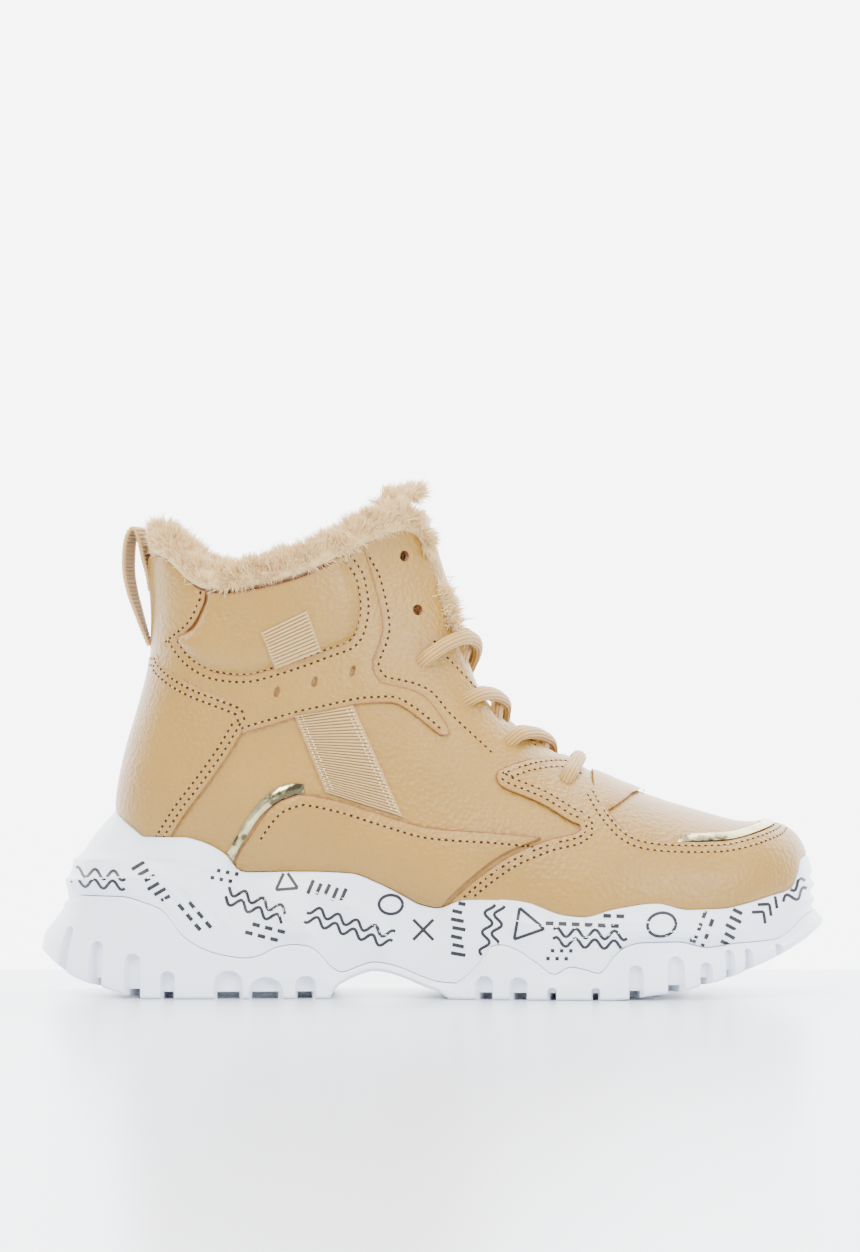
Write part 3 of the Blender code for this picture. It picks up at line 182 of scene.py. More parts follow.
CUP_LINE = (
    (0.093, 1.010), (0.108, 0.950), (0.123, 0.896), (0.135, 0.861), (0.184, 0.861),
    (0.206, 0.840), (0.226, 0.802), (0.240, 0.759), (0.251, 0.695), (0.262, 0.673),
    (0.340, 0.679), (0.396, 0.671), (0.430, 0.620), (0.461, 0.555), (0.486, 0.501),
    (0.507, 0.485), (0.538, 0.534), (0.564, 0.550), (0.613, 0.528), (0.666, 0.453),
    (0.689, 0.444), (0.729, 0.487), (0.780, 0.515), (0.820, 0.480), (0.863, 0.483),
    (0.893, 0.507), (0.924, 0.544), (0.944, 0.580), (0.952, 0.640), (0.962, 0.735),
    (1.000, 0.750),
)

# Notches between the lugs along each side: x, width in metres, level of the round top
NOTCHES = (
    (0.030, 0.0042, 0.380),
    (0.073, 0.0046, 0.308),
    (0.121, 0.0050, 0.244),
    (0.166, 0.0042, 0.152),
    (0.243, 0.0085, 0.155),
    (0.290, 0.0100, 0.120),
    (0.340, 0.0060, 0.125),
    (0.564, 0.0052, 0.131),
    (0.607, 0.0053, 0.125),
    (0.649, 0.0028, 0.070),
    (0.704, 0.0026, 0.070),
    (0.755, 0.0044, 0.190),
    (0.806, 0.0052, 0.236),
    (0.844, 0.0038, 0.201),
    (0.875, 0.0030, 0.265),
    (0.899, 0.0028, 0.270),
    (0.939, 0.0028, 0.290),
)
# Grooves across the tread: x and slant of each chevron as a share of the sole's length
CHEVRONS = (
    (0.200, 0.02), (0.265, 0.02), (0.325, 0.02),
    (0.585, -0.03), (0.628, -0.03), (0.672, -0.03), (0.716, -0.03), (0.760, -0.03),
    (0.805, -0.03),
)
# Diagonal steps on the side of the midsole: x and level
STEP_LINES = (
    ((0.258, 0.650), (0.264, 0.577), (0.284, 0.525), (0.317, 0.426), (0.352, 0.330)),
    ((0.340, 0.590), (0.371, 0.545), (0.409, 0.453), (0.436, 0.360), (0.455, 0.300)),
)

# Top edge of the leather, and the outlines of the overlays in side view: x and level
COLLAR_LINE = (
    (0.100, 1.757), (0.150, 1.757), (0.167, 1.740), (0.191, 1.680), (0.208, 1.655),
    (0.234, 1.645), (0.262, 1.651), (0.298, 1.669), (0.333, 1.693), (0.369, 1.730),
    (0.407, 1.783), (0.439, 1.818), (0.460, 1.832), (0.478, 1.822), (0.489, 1.783),
    (0.497, 1.733), (0.506, 1.650), (0.520, 1.565), (0.535, 1.478), (0.557, 1.358),
    (0.590, 1.250),
)
HEEL_COUNTER = (
    (0.05, 1.478), (0.147, 1.467), (0.163, 1.423), (0.191, 1.382), (0.226, 1.349),
    (0.255, 1.323), (0.265, 1.302), (0.268, 1.281), (0.259, 1.240), (0.241, 1.169),
    (0.211, 1.071), (0.184, 0.979), (0.155, 0.780), (0.05, 0.780),
)
MIDFOOT_STRAP = (
    (0.275, 1.395), (0.298, 1.418), (0.333, 1.440), (0.369, 1.464), (0.400, 1.500),
    (0.419, 1.500), (0.416, 1.435), (0.427, 1.378), (0.482, 1.342), (0.513, 1.268),
    (0.520, 1.232), (0.510, 1.231), (0.492, 1.263), (0.473, 1.297), (0.453, 1.323),
    (0.429, 1.325), (0.404, 1.320), (0.369, 1.302), (0.333, 1.284), (0.298, 1.260),
    (0.272, 1.242), (0.274, 1.281), (0.272, 1.310),
)
COLLAR_PAD = (
    (0.156, 1.470), (0.167, 1.435), (0.195, 1.395), (0.228, 1.362), (0.258, 1.340),
    (0.269, 1.390), (0.298, 1.425), (0.333, 1.448), (0.369, 1.472), (0.391, 1.504),
    (0.404, 1.550), (0.406, 1.609), (0.398, 1.659), (0.386, 1.690), (0.369, 1.690),
    (0.333, 1.655), (0.298, 1.632), (0.262, 1.615), (0.234, 1.608), (0.212, 1.612),
    (0.196, 1.600), (0.190, 1.540), (0.172, 1.500),
)
EYESTAY = (
    (0.412, 1.765), (0.428, 1.683), (0.439, 1.544), (0.426, 1.440), (0.436, 1.388),
    (0.488, 1.354), (0.519, 1.278), (0.567, 1.173), (0.582, 1.122), (0.591, 1.077),
    (0.636, 1.033), (0.672, 0.965), (0.682, 0.960), (0.688, 1.020), (0.6965, 1.080),
    (0.7020, 1.080), (0.7230, 1.012), (0.735, 1.034), (0.752, 1.047), (0.772, 1.058),
    (0.790, 1.300), (0.660, 1.900), (0.400, 1.900),
)
FOXING = (
    (0.252, 0.740), (0.268, 0.857), (0.286, 0.970), (0.301, 1.020), (0.318, 1.040),
    (0.340, 1.050), (0.384, 1.030), (0.436, 0.986), (0.486, 0.924), (0.525, 0.905),
    (0.575, 0.893), (0.636, 0.870), (0.585, 0.775), (0.540, 0.625), (0.512, 0.500),
    (0.500, 0.420), (0.400, 0.500), (0.252, 0.600),
)
TOE_GUARD = (
    (0.699, 1.068), (0.720, 1.004), (0.747, 0.880), (0.781, 0.830), (0.844, 0.805),
    (0.886, 0.830), (0.936, 0.900), (0.960, 0.960), (1.050, 0.960), (1.050, 0.400),
    (0.507, 0.400), (0.518, 0.491), (0.547, 0.614), (0.593, 0.759), (0.641, 0.850),
    (0.676, 0.892), (0.686, 0.955), (0.692, 1.020),
)
SIDE_TRIM = (
    (0.236, 0.700), (0.259, 0.867), (0.277, 0.990), (0.298, 1.045), (0.318, 1.067),
    (0.334, 1.069), (0.334, 1.053), (0.318, 1.044), (0.301, 1.024), (0.282, 0.974),
    (0.263, 0.860), (0.243, 0.700),
)
TOE_TRIM = (
    (0.806, 0.846), (0.812, 0.880), (0.845, 0.884), (0.880, 0.893), (0.910, 0.912),
    (0.926, 0.922), (0.945, 0.945), (0.934, 0.908), (0.886, 0.838), (0.844, 0.814),
)
COLLAR_TAB = ((0.283, 1.530), (0.341, 1.596), (0.359, 1.478), (0.301, 1.425))
SIDE_TAB = ((0.333, 1.262), (0.392, 1.292), (0.455, 0.990), (0.366, 1.060))

# Eyelets, from the top down: x, level
EYELETS = (
    (0.464, 1.758), (0.481, 1.598), (0.486, 1.443), (0.544, 1.330), (0.598, 1.208),
    (0.668, 1.085),
)
# Centre line of the pull loop's tape, from its foot to its end under the fur
LOOP_LINE = (
    (0.1375, 1.492), (0.1310, 1.535), (0.1220, 1.600), (0.1150, 1.655), (0.1105, 1.720),
    (0.1120, 1.800), (0.1175, 1.836), (0.1240, 1.838), (0.1290, 1.800), (0.1330, 1.745),
    (0.1370, 1.700), (0.1388, 1.655),
)


# Outlines that differ in the looks, where a piece runs on under its neighbour
STRAP_RUN = (
    (0.090, 1.440), (0.090, 1.545), (0.170, 1.540), (0.200, 1.470), (0.240, 1.440), (0.266, 1.435),
    (0.300, 1.452), (0.3373, 1.482), (0.3675, 1.509), (0.385, 1.535), (0.392, 1.560),
    (0.396, 1.609), (0.392, 1.670), (0.380, 1.720), (0.372, 1.850), (0.4035, 1.850),
    (0.4255, 1.683), (0.4368, 1.544), (0.4235, 1.440), (0.4330, 1.384), (0.4845, 1.350),
    (0.513, 1.276), (0.522, 1.236), (0.517, 1.229), (0.508, 1.233), (0.492, 1.263),
    (0.473, 1.297), (0.453, 1.323), (0.429, 1.325), (0.404, 1.320), (0.369, 1.302),
    (0.333, 1.284), (0.298, 1.260), (0.262, 1.235), (0.250, 1.225), (0.240, 1.290),
    (0.200, 1.350), (0.165, 1.400),
)
PAD_PANEL = (
    (0.1707, 1.5175), (0.1884, 1.4613), (0.2124, 1.4229), (0.2351, 1.4082), (0.2660, 1.4052),
    (0.2982, 1.4229), (0.3373, 1.4525), (0.3675, 1.4790), (0.3946, 1.5037), (0.4056, 1.5441),
    (0.4100, 1.6091), (0.4050, 1.6860), (0.3970, 1.7220), (0.3870, 1.7600), (0.3800, 1.8500),
    (0.2155, 1.8500), (0.2145, 1.6500), (0.2070, 1.5900), (0.1950, 1.5420),
)
HEEL_PANEL = (
    (0.050, 1.481), (0.150, 1.479), (0.1600, 1.486), (0.1740, 1.511), (0.1925, 1.547),
    (0.2045, 1.592), (0.2120, 1.652), (0.2125, 1.820), (0.050, 1.820),
)
EYESTAY_RUN = (
    (0.412, 1.765), (0.428, 1.683), (0.439, 1.544), (0.426, 1.440), (0.436, 1.388),
    (0.488, 1.354), (0.519, 1.278), (0.567, 1.173), (0.5830, 1.128), (0.5960, 1.100),
    (0.6300, 1.105), (0.6600, 1.110), (0.6800, 1.080), (0.6980, 1.040), (0.7150, 1.000),
    (0.7240, 1.016), (0.735, 1.034), (0.752, 1.047), (0.772, 1.058),
    (0.790, 1.300), (0.660, 1.900), (0.400, 1.900),
)
VAMP_GUARD = (
    (0.7040, 1.076), (0.7220, 1.004), (0.747, 0.895), (0.781, 0.850), (0.844, 0.838),
    (0.886, 0.852), (0.936, 0.915), (0.960, 0.970), (1.050, 0.970), (1.050, 0.400),
    (0.507, 0.400), (0.518, 0.491), (0.547, 0.614), (0.593, 0.759), (0.641, 0.850),
    (0.676, 0.888), (0.687, 0.912), (0.686, 0.940), (0.672, 0.965), (0.636, 1.031),
    (0.591, 1.075), (0.5815, 1.100), (0.5830, 1.124), (0.5910, 1.132), (0.6085, 1.147),
    (0.6305, 1.160), (0.6580, 1.166), (0.6785, 1.157), (0.6945, 1.116),
)
TOE_STRIP = (
    (0.808, 0.842), (0.818, 0.879), (0.845, 0.884), (0.880, 0.891), (0.910, 0.922),
    (0.926, 0.941), (0.942, 0.957), (0.932, 0.922), (0.886, 0.860), (0.844, 0.846),
)
GOLD_RUN = (
    (0.230, 0.700), (0.2525, 0.872), (0.2710, 1.000), (0.2945, 1.058), (0.317, 1.083),
    (0.337, 1.083), (0.337, 1.056), (0.318, 1.044), (0.301, 1.024), (0.282, 0.974),
    (0.263, 0.860), (0.243, 0.700),
)
THROAT_SEAMS = (
    ((0.508, 1.515), (0.500, 1.495), (0.503, 1.470), (0.515, 1.462), (0.536, 1.414),
     (0.559, 1.358), (0.588, 1.302), (0.612, 1.245), (0.633, 1.190)),
)

# Raised lines on the side of the midsole: points, height and fade in metres
RIDGES = (
    (STEP_LINES[0], 0.0042, 0.0080),
    (STEP_LINES[1], 0.0038, 0.0080),
    (((0.020, 0.610), (0.070, 0.640), (0.144, 0.655), (0.180, 0.610), (0.220, 0.520)), 0.0030, 0.0050),
    (((0.018, 0.720), (0.080, 0.745), (0.150, 0.735), (0.207, 0.690), (0.236, 0.640)), 0.0024, 0.0060),
    (((0.590, 0.440), (0.640, 0.400), (0.690, 0.395), (0.760, 0.420), (0.820, 0.400), (0.870, 0.380)),
     0.0020, 0.0070),
    (((0.640, 0.300), (0.700, 0.345), (0.765, 0.375), (0.830, 0.360), (0.900, 0.370)), 0.0016, 0.0060),
)
PAD_SWELL = 0.0026
FUR_STRANDS = 21000
TONGUE_STRANDS = 6400
STRAND_LENGTH = 0.0056
STRAND_WIDTH = 0.00050
TABLE_BACK = 0.16
BEAD = 0.00024

RIB_HEIGHT = 0.0007
LOOP_TWIST = 0.30

UNDER_THICKNESS = 0.00092
THROAT_TAB = (
    (0.7050, 0.990), (0.7244, 1.013), (0.7407, 1.036), (0.7536, 1.0556), (0.7660, 1.064),
    (0.7720, 1.080), (0.7720, 1.300), (0.7050, 1.300),
)
CUP_LINE = CUP_LINE[:-4] + ((0.952, 0.585), (0.9585, 0.640), (0.9610, 0.700), (0.9680, 0.745), (1.000, 0.752))
SIDE_TAB = ((0.3250, 1.285), (0.3990, 1.315), (0.4625, 0.972), (0.3650, 1.058))

# Stitching: outline, first and last of its points, and the rows' insets in metres
SEAMS = (
    ("HEEL_COUNTER", 0, 12, (0.0018, 0.0042)),
    ("STRAP_RUN", 23, 33, (0.0018,)),
    ("PAD_PANEL", 0, 13, (0.0004, -0.0024)),
    ("HEEL_PANEL", 2, 7, (0.0016,)),
    ("EYESTAY_RUN", 0, 7, (0.0017,)),
    ("FOXING", 1, 11, (0.0036,)),
    ("VAMP_GUARD", 10, 17, (0.0018, 0.0040)),
    ("VAMP_GUARD", 17, 28, (0.0018, 0.0040)),
    ("VAMP_GUARD", 0, 7, (0.0012, 0.0034)),
)
STITCH_PITCH = 0.0025
STITCH_LENGTH = 0.0017
STITCH_WIDTH = 0.00060
SLOTS = ((0.303, 1.355), (0.351, 1.385), (0.399, 1.417))

# Marks printed on the side of the sole: kind, x, level, size in metres, turn in degrees
MARKS = (
    ("waves", 0.066, 0.640, 0.026, -3), ("chevrons", 0.085, 0.400, 0.018, 12),
    ("bars", 0.150, 0.600, 0.020, -50), ("dashes", 0.205, 0.420, 0.018, -50),
    ("dots", 0.238, 0.655, 0.010, -12), ("waves", 0.276, 0.500, 0.022, -20),
    ("dashes", 0.296, 0.350, 0.018, -14), ("triangle", 0.315, 0.620, 0.009, 5),
    ("waves", 0.395, 0.385, 0.032, -17), ("bars", 0.372, 0.570, 0.016, -14),
    ("ring", 0.447, 0.505, 0.014, 0), ("cross", 0.488, 0.370, 0.012, 0),
    ("bars", 0.532, 0.395, 0.021, 90), ("waves", 0.573, 0.330, 0.024, 82),
    ("triangle", 0.617, 0.400, 0.013, 20), ("dashes", 0.695, 0.430, 0.030, -2),
    ("waves", 0.697, 0.330, 0.026, -3), ("dots", 0.660, 0.245, 0.010, 0),
    ("ring", 0.787, 0.405, 0.017, 10), ("cuts", 0.812, 0.270, 0.012, 20),
    ("dashes", 0.842, 0.390, 0.017, 68), ("bars", 0.880, 0.420, 0.018, 72),
    ("chevrons", 0.925, 0.500, 0.012, 50), ("waves", 0.965, 0.575, 0.014, 20),
)


def along(x):
    """World x of a share of the sole's length, counted from the heel."""
    return (np.asarray(x, float) - 0.5) * SOLE_LENGTH


def share(x):
    return np.asarray(x, float) / SOLE_LENGTH + 0.5


def level(height):
    """World z of a level: 0 floor, 1 top of the sole's heel cup, 2 top of the pile."""
    height = np.asarray(height, float)
    return np.where(height <= 1, height * SOLE_HEIGHT, SOLE_HEIGHT + (height - 1) * SHAFT_HEIGHT)


def height_of(z):
    z = np.asarray(z, float)
    return np.where(z <= SOLE_HEIGHT, z / SOLE_HEIGHT, 1 + (z - SOLE_HEIGHT) / SHAFT_HEIGHT)


def smooth_line(line, x):
    """A table of x and level as a curve that never overshoots its knots."""
    table = np.array(line)
    knots, values = table[:, 0], level(table[:, 1])
    step = np.diff(knots)
    rate = np.diff(values) / step
    slope = np.zeros(len(knots))
    same = rate[1:] * rate[:-1] > 0
    weight = 3 * (step[1:] + step[:-1])
    mean = weight / ((2 * step[1:] + step[:-1]) / np.where(same, rate[:-1], 1)
                     + (step[1:] + 2 * step[:-1]) / np.where(same, rate[1:], 1))
    slope[1:-1] = np.where(same, mean, 0)
    slope[0], slope[-1] = rate[0], rate[-1]
    x = np.clip(x, knots[0], knots[-1])
    i = np.clip(np.searchsorted(knots, x) - 1, 0, len(step) - 1)
    t = (x - knots[i]) / step[i]
    a, b = values[i], values[i + 1]
    return (a * (1 + 2 * t) * (1 - t) ** 2 + slope[i] * step[i] * t * (1 - t) ** 2
            + b * t * t * (3 - 2 * t) + slope[i + 1] * step[i] * t * t * (t - 1))


def read_line(line, x):
    table = np.array(line)
    return level(np.interp(x, table[:, 0], table[:, 1]))


def spline(points, steps, closed=False):
    """Points on a Catmull-Rom curve through the given ones."""
    points = np.asarray(points, float)
    if closed:
        padded = np.vstack([points[-1:], points, points[:2]])
    else:
        padded = np.vstack([2 * points[0] - points[1], points, 2 * points[-1] - points[-2]])
    out = []
    for a, b, c, d in zip(padded, padded[1:], padded[2:], padded[3:]):
        for t in np.arange(steps) / steps:
            out.append(
                b + 0.5 * t * (c - a + t * (2 * a - 5 * b + 4 * c - d + t * (3 * (b - c) + d - a)))
            )
    if not closed:
        out.append(points[-1])
    return np.array(out)


def flat_points(outline):
    """An outline's points in metres, in side view."""
    return np.array([(float(along(x)), float(level(h))) for x, h in outline])


def smooth_outline(outline, steps=6, corner=42.0):
    """A closed outline in side view, curved between its corners, with each given point's
    index in the result."""
    points = flat_points(outline)
    count = len(points)
    before = points - np.roll(points, 1, 0)
    after = np.roll(points, -1, 0) - points
    turn = np.degrees(np.arctan2(before[:, 0] * after[:, 1] - before[:, 1] * after[:, 0],
                                 (before * after).sum(1)))
    sharp = [k for k in range(count) if abs(turn[k]) > corner]
    if len(sharp) < 2:
        return spline(points, steps, closed=True), [k * steps for k in range(count)]
    out, places = [], [0] * count
    for a, b in zip(sharp, sharp[1:] + [sharp[0] + count]):
        run = [k % count for k in range(a, b + 1)]
        for k, index in enumerate(run[:-1]):
            places[index] = len(out) + k * steps
        out += list(spline(points[run], steps)[:-1])
    return np.array(out), places


# Meshes


def mesh_object(name, points, faces, smooth=True):
    """A linked object whose place is in its mesh."""
    mesh = bpy.data.meshes.new(name)
    mesh.from_pydata([tuple(map(float, p)) for p in points], [], [tuple(map(int, f)) for f in faces])
    mesh.validate()
    made = bpy.data.objects.new(name, mesh)
    bpy.context.scene.collection.objects.link(made)
    if smooth:
        mesh.shade_smooth()
    return made


def outward(thing):
    """Merges a closed mesh's doubles and turns its faces outwards."""
    shape = bmesh.new()
    shape.from_mesh(thing.data)
    bmesh.ops.remove_doubles(shape, verts=shape.verts, dist=2e-5)
    bmesh.ops.recalc_face_normals(shape, faces=shape.faces)
    if shape.calc_volume(signed=True) < 0:
        bmesh.ops.reverse_faces(shape, faces=shape.faces)
    shape.to_mesh(thing.data)
    shape.free()
    return thing


def drop(thing):
    mesh = thing.data
    bpy.data.objects.remove(thing)
    if mesh.users == 0:
        bpy.data.meshes.remove(mesh)


def combine(target, tool, how, keep=False):
    """Boolean of two solids, applied at once."""
    step = target.modifiers.new(how.lower(), "BOOLEAN")
    step.operation = how
    step.solver = "EXACT"
    step.object = tool
    bpy.context.view_layer.update()
    graph = bpy.context.evaluated_depsgraph_get()
    mesh = bpy.data.meshes.new_from_object(target.evaluated_get(graph))
    old = target.data
    target.modifiers.clear()
    target.data = mesh
    bpy.data.meshes.remove(old)
    if not keep:
        drop(tool)
    return target


def positions(mesh):
    flat = np.empty(len(mesh.vertices) * 3)
    mesh.vertices.foreach_get("co", flat)
    return flat.reshape(-1, 3)


def tree_of(thing):
    mesh = thing.data
    return BVHTree.FromPolygons([v.co.copy() for v in mesh.vertices],
                                [tuple(p.vertices) for p in mesh.polygons])


# The form


def section_rows(count):
    rows = []
    for low_x, low_h, high_x, high_h, width, of, sway, widest, low_n, high_n in SECTIONS:
        rows.append((
            along(low_x), level(low_h), along(high_x), level(high_h),
            width * NAMED_WIDTH[of] / 2, sway * BALL_WIDTH, widest, low_n, high_n,
        ))
    fine = spline(rows, 16)
    pick = np.linspace(0, 1, count) ** 0.92 * (len(fine) - 1)
    index = np.arange(len(fine))
    return np.array([np.interp(pick, index, column) for column in fine.T]).T


def soft_relief(grid):
    """Slight unevenness of lasted leather, in metres along the skin's normals."""
    x, y, z = grid[..., 0], grid[..., 1], grid[..., 2]
    wave = np.zeros(x.shape)
    for k in range(7):
        turn = 2.4 * k + 0.7
        a, b, c = 90 + 55 * math.sin(turn), 80 * math.cos(1.7 * turn), 85 * math.sin(1.3 * turn + 1)
        wave += np.sin(a * x + b * y + c * z + 3 * turn) / 7
    vamp = np.clip((share(x) - 0.66) / 0.05, 0, 1) * np.clip((0.83 - share(x)) / 0.05, 0, 1)
    folds = np.sin(share(x) * 205 + 9 * z / SOLE_HEIGHT) * vamp * np.clip((z - 0.06) / 0.02, 0, 1)
    return 0.00055 * wave + 0.00012 * folds


def form_grid(rows=ROWS, columns=COLUMNS):
    """Rings of the form's skin. Column 0 is the low point and the middle column the high one."""
    table = section_rows(rows)
    turn = 2 * math.pi * np.arange(columns) / columns
    down, side = np.cos(turn), np.sin(turn)
    grid = np.zeros((rows, columns, 3))
    for i, (low_x, low_z, high_x, high_z, half, sway, widest, low_n, high_n) in enumerate(table):
        low, high = np.array([low_x, low_z]), np.array([high_x, high_z])
        middle = low + (high - low) * widest
        power = 2 / np.where(down > 0, low_n, high_n)
        reach = np.where(down[:, None] > 0, low - middle, high - middle)
        spot = middle + reach * (np.abs(down) ** power)[:, None]
        grid[i, :, 0] = spot[:, 0]
        grid[i, :, 2] = spot[:, 1]
        grid[i, :, 1] = -np.sign(side) * half * np.abs(side) ** power + sway + SHIFT
    return grid


def grid_normals(grid):
    round_way = np.roll(grid, -1, 1) - np.roll(grid, 1, 1)
    up_way = np.gradient(grid, axis=0)
    normals = np.cross(round_way, up_way)
    normals /= np.linalg.norm(normals, axis=2, keepdims=True) + 1e-12
    middle = grid.mean(axis=1, keepdims=True)
    if (normals * (grid - middle)).sum() < 0:
        normals = -normals
    return normals


def offset_grid(out, rows=ROWS, columns=COLUMNS):
    grid = form_grid(rows, columns)
    return grid + grid_normals(grid) * (out + soft_relief(grid))[..., None]


def toe_point(out):
    x, height, sway = TOE_POINT
    return np.array((float(along(x)) + out, sway * BALL_WIDTH + SHIFT, float(level(height))))


def skin_faces(rows, columns, first=0):
    faces = []
    for i in range(rows - 1):
        here, above = first + i * columns, first + (i + 1) * columns
        for k in range(columns):
            n = (k + 1) % columns
            faces.append((here + k, here + n, above + n, above + k))
    return faces


def shell_solid(name, outer, inner, rows=ROWS, columns=COLUMNS):
    """A closed shell between two offsets of the form, open at the collar's end only."""
    count = rows * columns
    skins = [offset_grid(out, rows, columns).reshape(-1, 3) for out in (outer, inner)]
    points = np.vstack([skins[0], skins[1], toe_point(outer), toe_point(inner)])
    faces = skin_faces(rows, columns)
    faces += [f[::-1] for f in skin_faces(rows, columns, count)]
    top = (rows - 1) * columns
    for k in range(columns):
        n = (k + 1) % columns
        faces.append((2 * count, n, k))
        faces.append((2 * count + 1, count + k, count + n))
        faces.append((top + k, top + n, count + top + n, count + top + k))
    return outward(mesh_object(name, points, faces))


def form_solid(name, out, rows=80, columns=72, lift=0.0):
    """The closed form, grown by an offset."""
    grid = offset_grid(out, rows, columns)
    if lift:
        grid = np.concatenate([grid, grid[-1:] + np.array([0, 0, lift])])
        rows += 1
    points = np.vstack([grid.reshape(-1, 3), toe_point(out)])
    faces = skin_faces(rows, columns)
    faces += [(len(points) - 1, (k + 1) % columns, k) for k in range(columns)]
    faces.append([(rows - 1) * columns + k for k in range(columns)])
    return outward(mesh_object(name, points, faces))


def prism_solid(name, flat, low, high):
    count = len(flat)
    points = [(x, low, z) for x, z in flat] + [(x, high, z) for x, z in flat]
    faces = [tuple(range(count)), tuple(range(2 * count - 1, count - 1, -1))]
    faces += [(k, (k + 1) % count, (k + 1) % count + count, k + count) for k in range(count)]
    return outward(mesh_object(name, points, faces))


# The sole


def sole_ring(steps=SOLE_STEPS):
    """Plan outline of the sole from the heel over the outer side to the toe and back."""
    def half(x):
        blend = np.clip((x - 0.30) / 0.35, 0, 1)
        blend = blend * blend * (3 - 2 * blend)
        heel = HEEL_WIDTH / 2 + HEEL_FLARE
        return heel + (BALL_WIDTH / 2 + SOLE_SPREAD - heel) * blend

    outer = [(float(along(x)), -a * half(x)) for x, a, b in OUTLINE]
    inner = [(float(along(x)), b * half(x)) for x, a, b in OUTLINE]
    toe = (float(along(1.0)), TOE_SWAY * half(1.0))
    heel = (float(along(0.0)), 0.0)
    ring = spline([heel] + outer + [toe] + inner[::-1], steps, closed=True)
    tangent = np.roll(ring, -1, 0) - np.roll(ring, 1, 0)
    tangent /= np.linalg.norm(tangent, axis=1, keepdims=True)
    inward = np.stack([-tangent[:, 1], tangent[:, 0]], 1)
    return ring, inward


SHIFT = 0.0
SHIFT = float(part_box("outsole")[0][1]) - float(sole_ring(3)[0][:, 1].min())


def shifted_ring():
    ring, inward = sole_ring()
    return ring + np.array([0.0, SHIFT]), inward


def heel_share(ring):
    return np.clip(1 - share(ring[:, 0]) / 0.14, 0, 1) ** 1.2


def toe_share(ring):
    return np.clip((share(ring[:, 0]) - 0.88) / 0.10, 0, 1)


def sole_lines(ring):
    x = share(ring[:, 0])
    under = smooth_line(UNDERSIDE, x)
    ledge = smooth_line(LEDGE_LINE, x)
    thickness = OUTSOLE_THICKNESS * (1 - 0.6 * toe_share(ring))
    seat = np.minimum(under + thickness, ledge - GAP)
    return under, seat, ledge


def lean_of(ring):
    return SIDE_LEAN + (HEEL_LEAN - SIDE_LEAN) * heel_share(ring)


def ring_at(ring, inward, inset, height):
    spots = ring + inward * np.reshape(inset, (-1, 1))
    return np.column_stack([spots, np.broadcast_to(height, len(ring))])


def ring_solid(name, rings):
    """A solid from rings stacked from its underside to its top, each end closed by a ladder."""
    count = len(rings[0])
    half = count // 2
    faces = []
    for r in range(len(rings) - 1):
        for k in range(count):
            n = (k + 1) % count
            faces.append((r * count + k, r * count + n, (r + 1) * count + n, (r + 1) * count + k))
    for r in (0, len(rings) - 1):
        base = r * count
        for k in range(half):
            corners = [base + k, base + k + 1, base + (count - k - 1) % count, base + (count - k) % count]
            unique = list(dict.fromkeys(corners))
            if len(unique) > 2:
                faces.append(unique)
    return outward(mesh_object(name, np.vstack(rings), faces))


def line_distance(flat, line):
    """Distance of points in side view to a line, and the side of it they lie on."""
    best = np.full(len(flat), 1e9)
    side = np.zeros(len(flat))
    for a, b in zip(line[:-1], line[1:]):
        run = b - a
        t = np.clip(((flat - a) @ run) / (run @ run), 0, 1)
        gap = flat - (a + t[:, None] * run)
        far = np.hypot(gap[:, 0], gap[:, 1])
        nearer = far < best
        cross = run[0] * gap[:, 1] - run[1] * gap[:, 0]
        best = np.where(nearer, far, best)
        side = np.where(nearer, np.sign(cross), side)
    return best, side


def side_relief(points):
    """How far the midsole's side stands out at points of its surface: slanting steps, a ridge
    round the heel and the fine slanting ribs behind them."""
    flat = points[:, [0, 2]]
    rise = np.zeros(len(points))
    for line, height, fade in RIDGES:
        knots = spline(flat_points(line), 6)
        far, side = line_distance(flat, knots)
        ends = np.clip((flat[:, 0] - knots[0, 0]) / 0.008, 0, 1) * np.clip((knots[-1, 0] - flat[:, 0]) / 0.006, 0, 1)
        sharp = np.where(side > 0, np.exp(-far / 0.0011), np.exp(-far / fade))
        rise += height * sharp * ends
    x, h = share(flat[:, 0]), height_of(flat[:, 1])
    centre = (x - 0.215) / 0.075, (h - 0.50) / 0.16
    area = np.clip(1.3 - centre[0] ** 2 - centre[1] ** 2, 0, 1)
    slant = flat[:, 0] * 0.82 + flat[:, 1] * 0.57
    toe = np.clip((x - 0.962) / 0.02, 0, 1) * np.clip((0.72 - h) / 0.08, 0, 1)
    ripple = toe * 0.0007 * np.cos(flat[:, 1] * 2 * math.pi / 0.0056)
    return rise + ripple + area * 0.00050 * np.sin(slant * 2 * math.pi / 0.0042)


def outsole_mesh():
    ring, inward = shifted_ring()
    under, seat, ledge = sole_lines(ring)
    lean = lean_of(ring)
    wide = np.minimum(under + 0.005, (under + ledge) / 2)
    rings = []
    for part in (1.0, 0.45, 0.12, 0.0):
        rings.append(ring_at(ring, inward, EDGE_ROUND * part**2 + 0 * lean, under + (1 - part) * 0.0014))
    for part in np.linspace(0.12, 1.0, 8):
        z = wide + (ledge - 0.0008 - wide) * part
        rings.append(ring_at(ring, inward, lean * min(1.0, part * 1.12), z))
    rings.append(ring_at(ring, inward, lean + 0.0003, ledge - 0.0002))
    rings.append(ring_at(ring, inward, lean + 0.0009, ledge))
    rings.append(ring_at(ring, inward, lean + SHELL - 0.0004, ledge))
    rings.append(ring_at(ring, inward, lean + SHELL + 0.002, seat))
    return ring_solid("outsole_looks", rings)


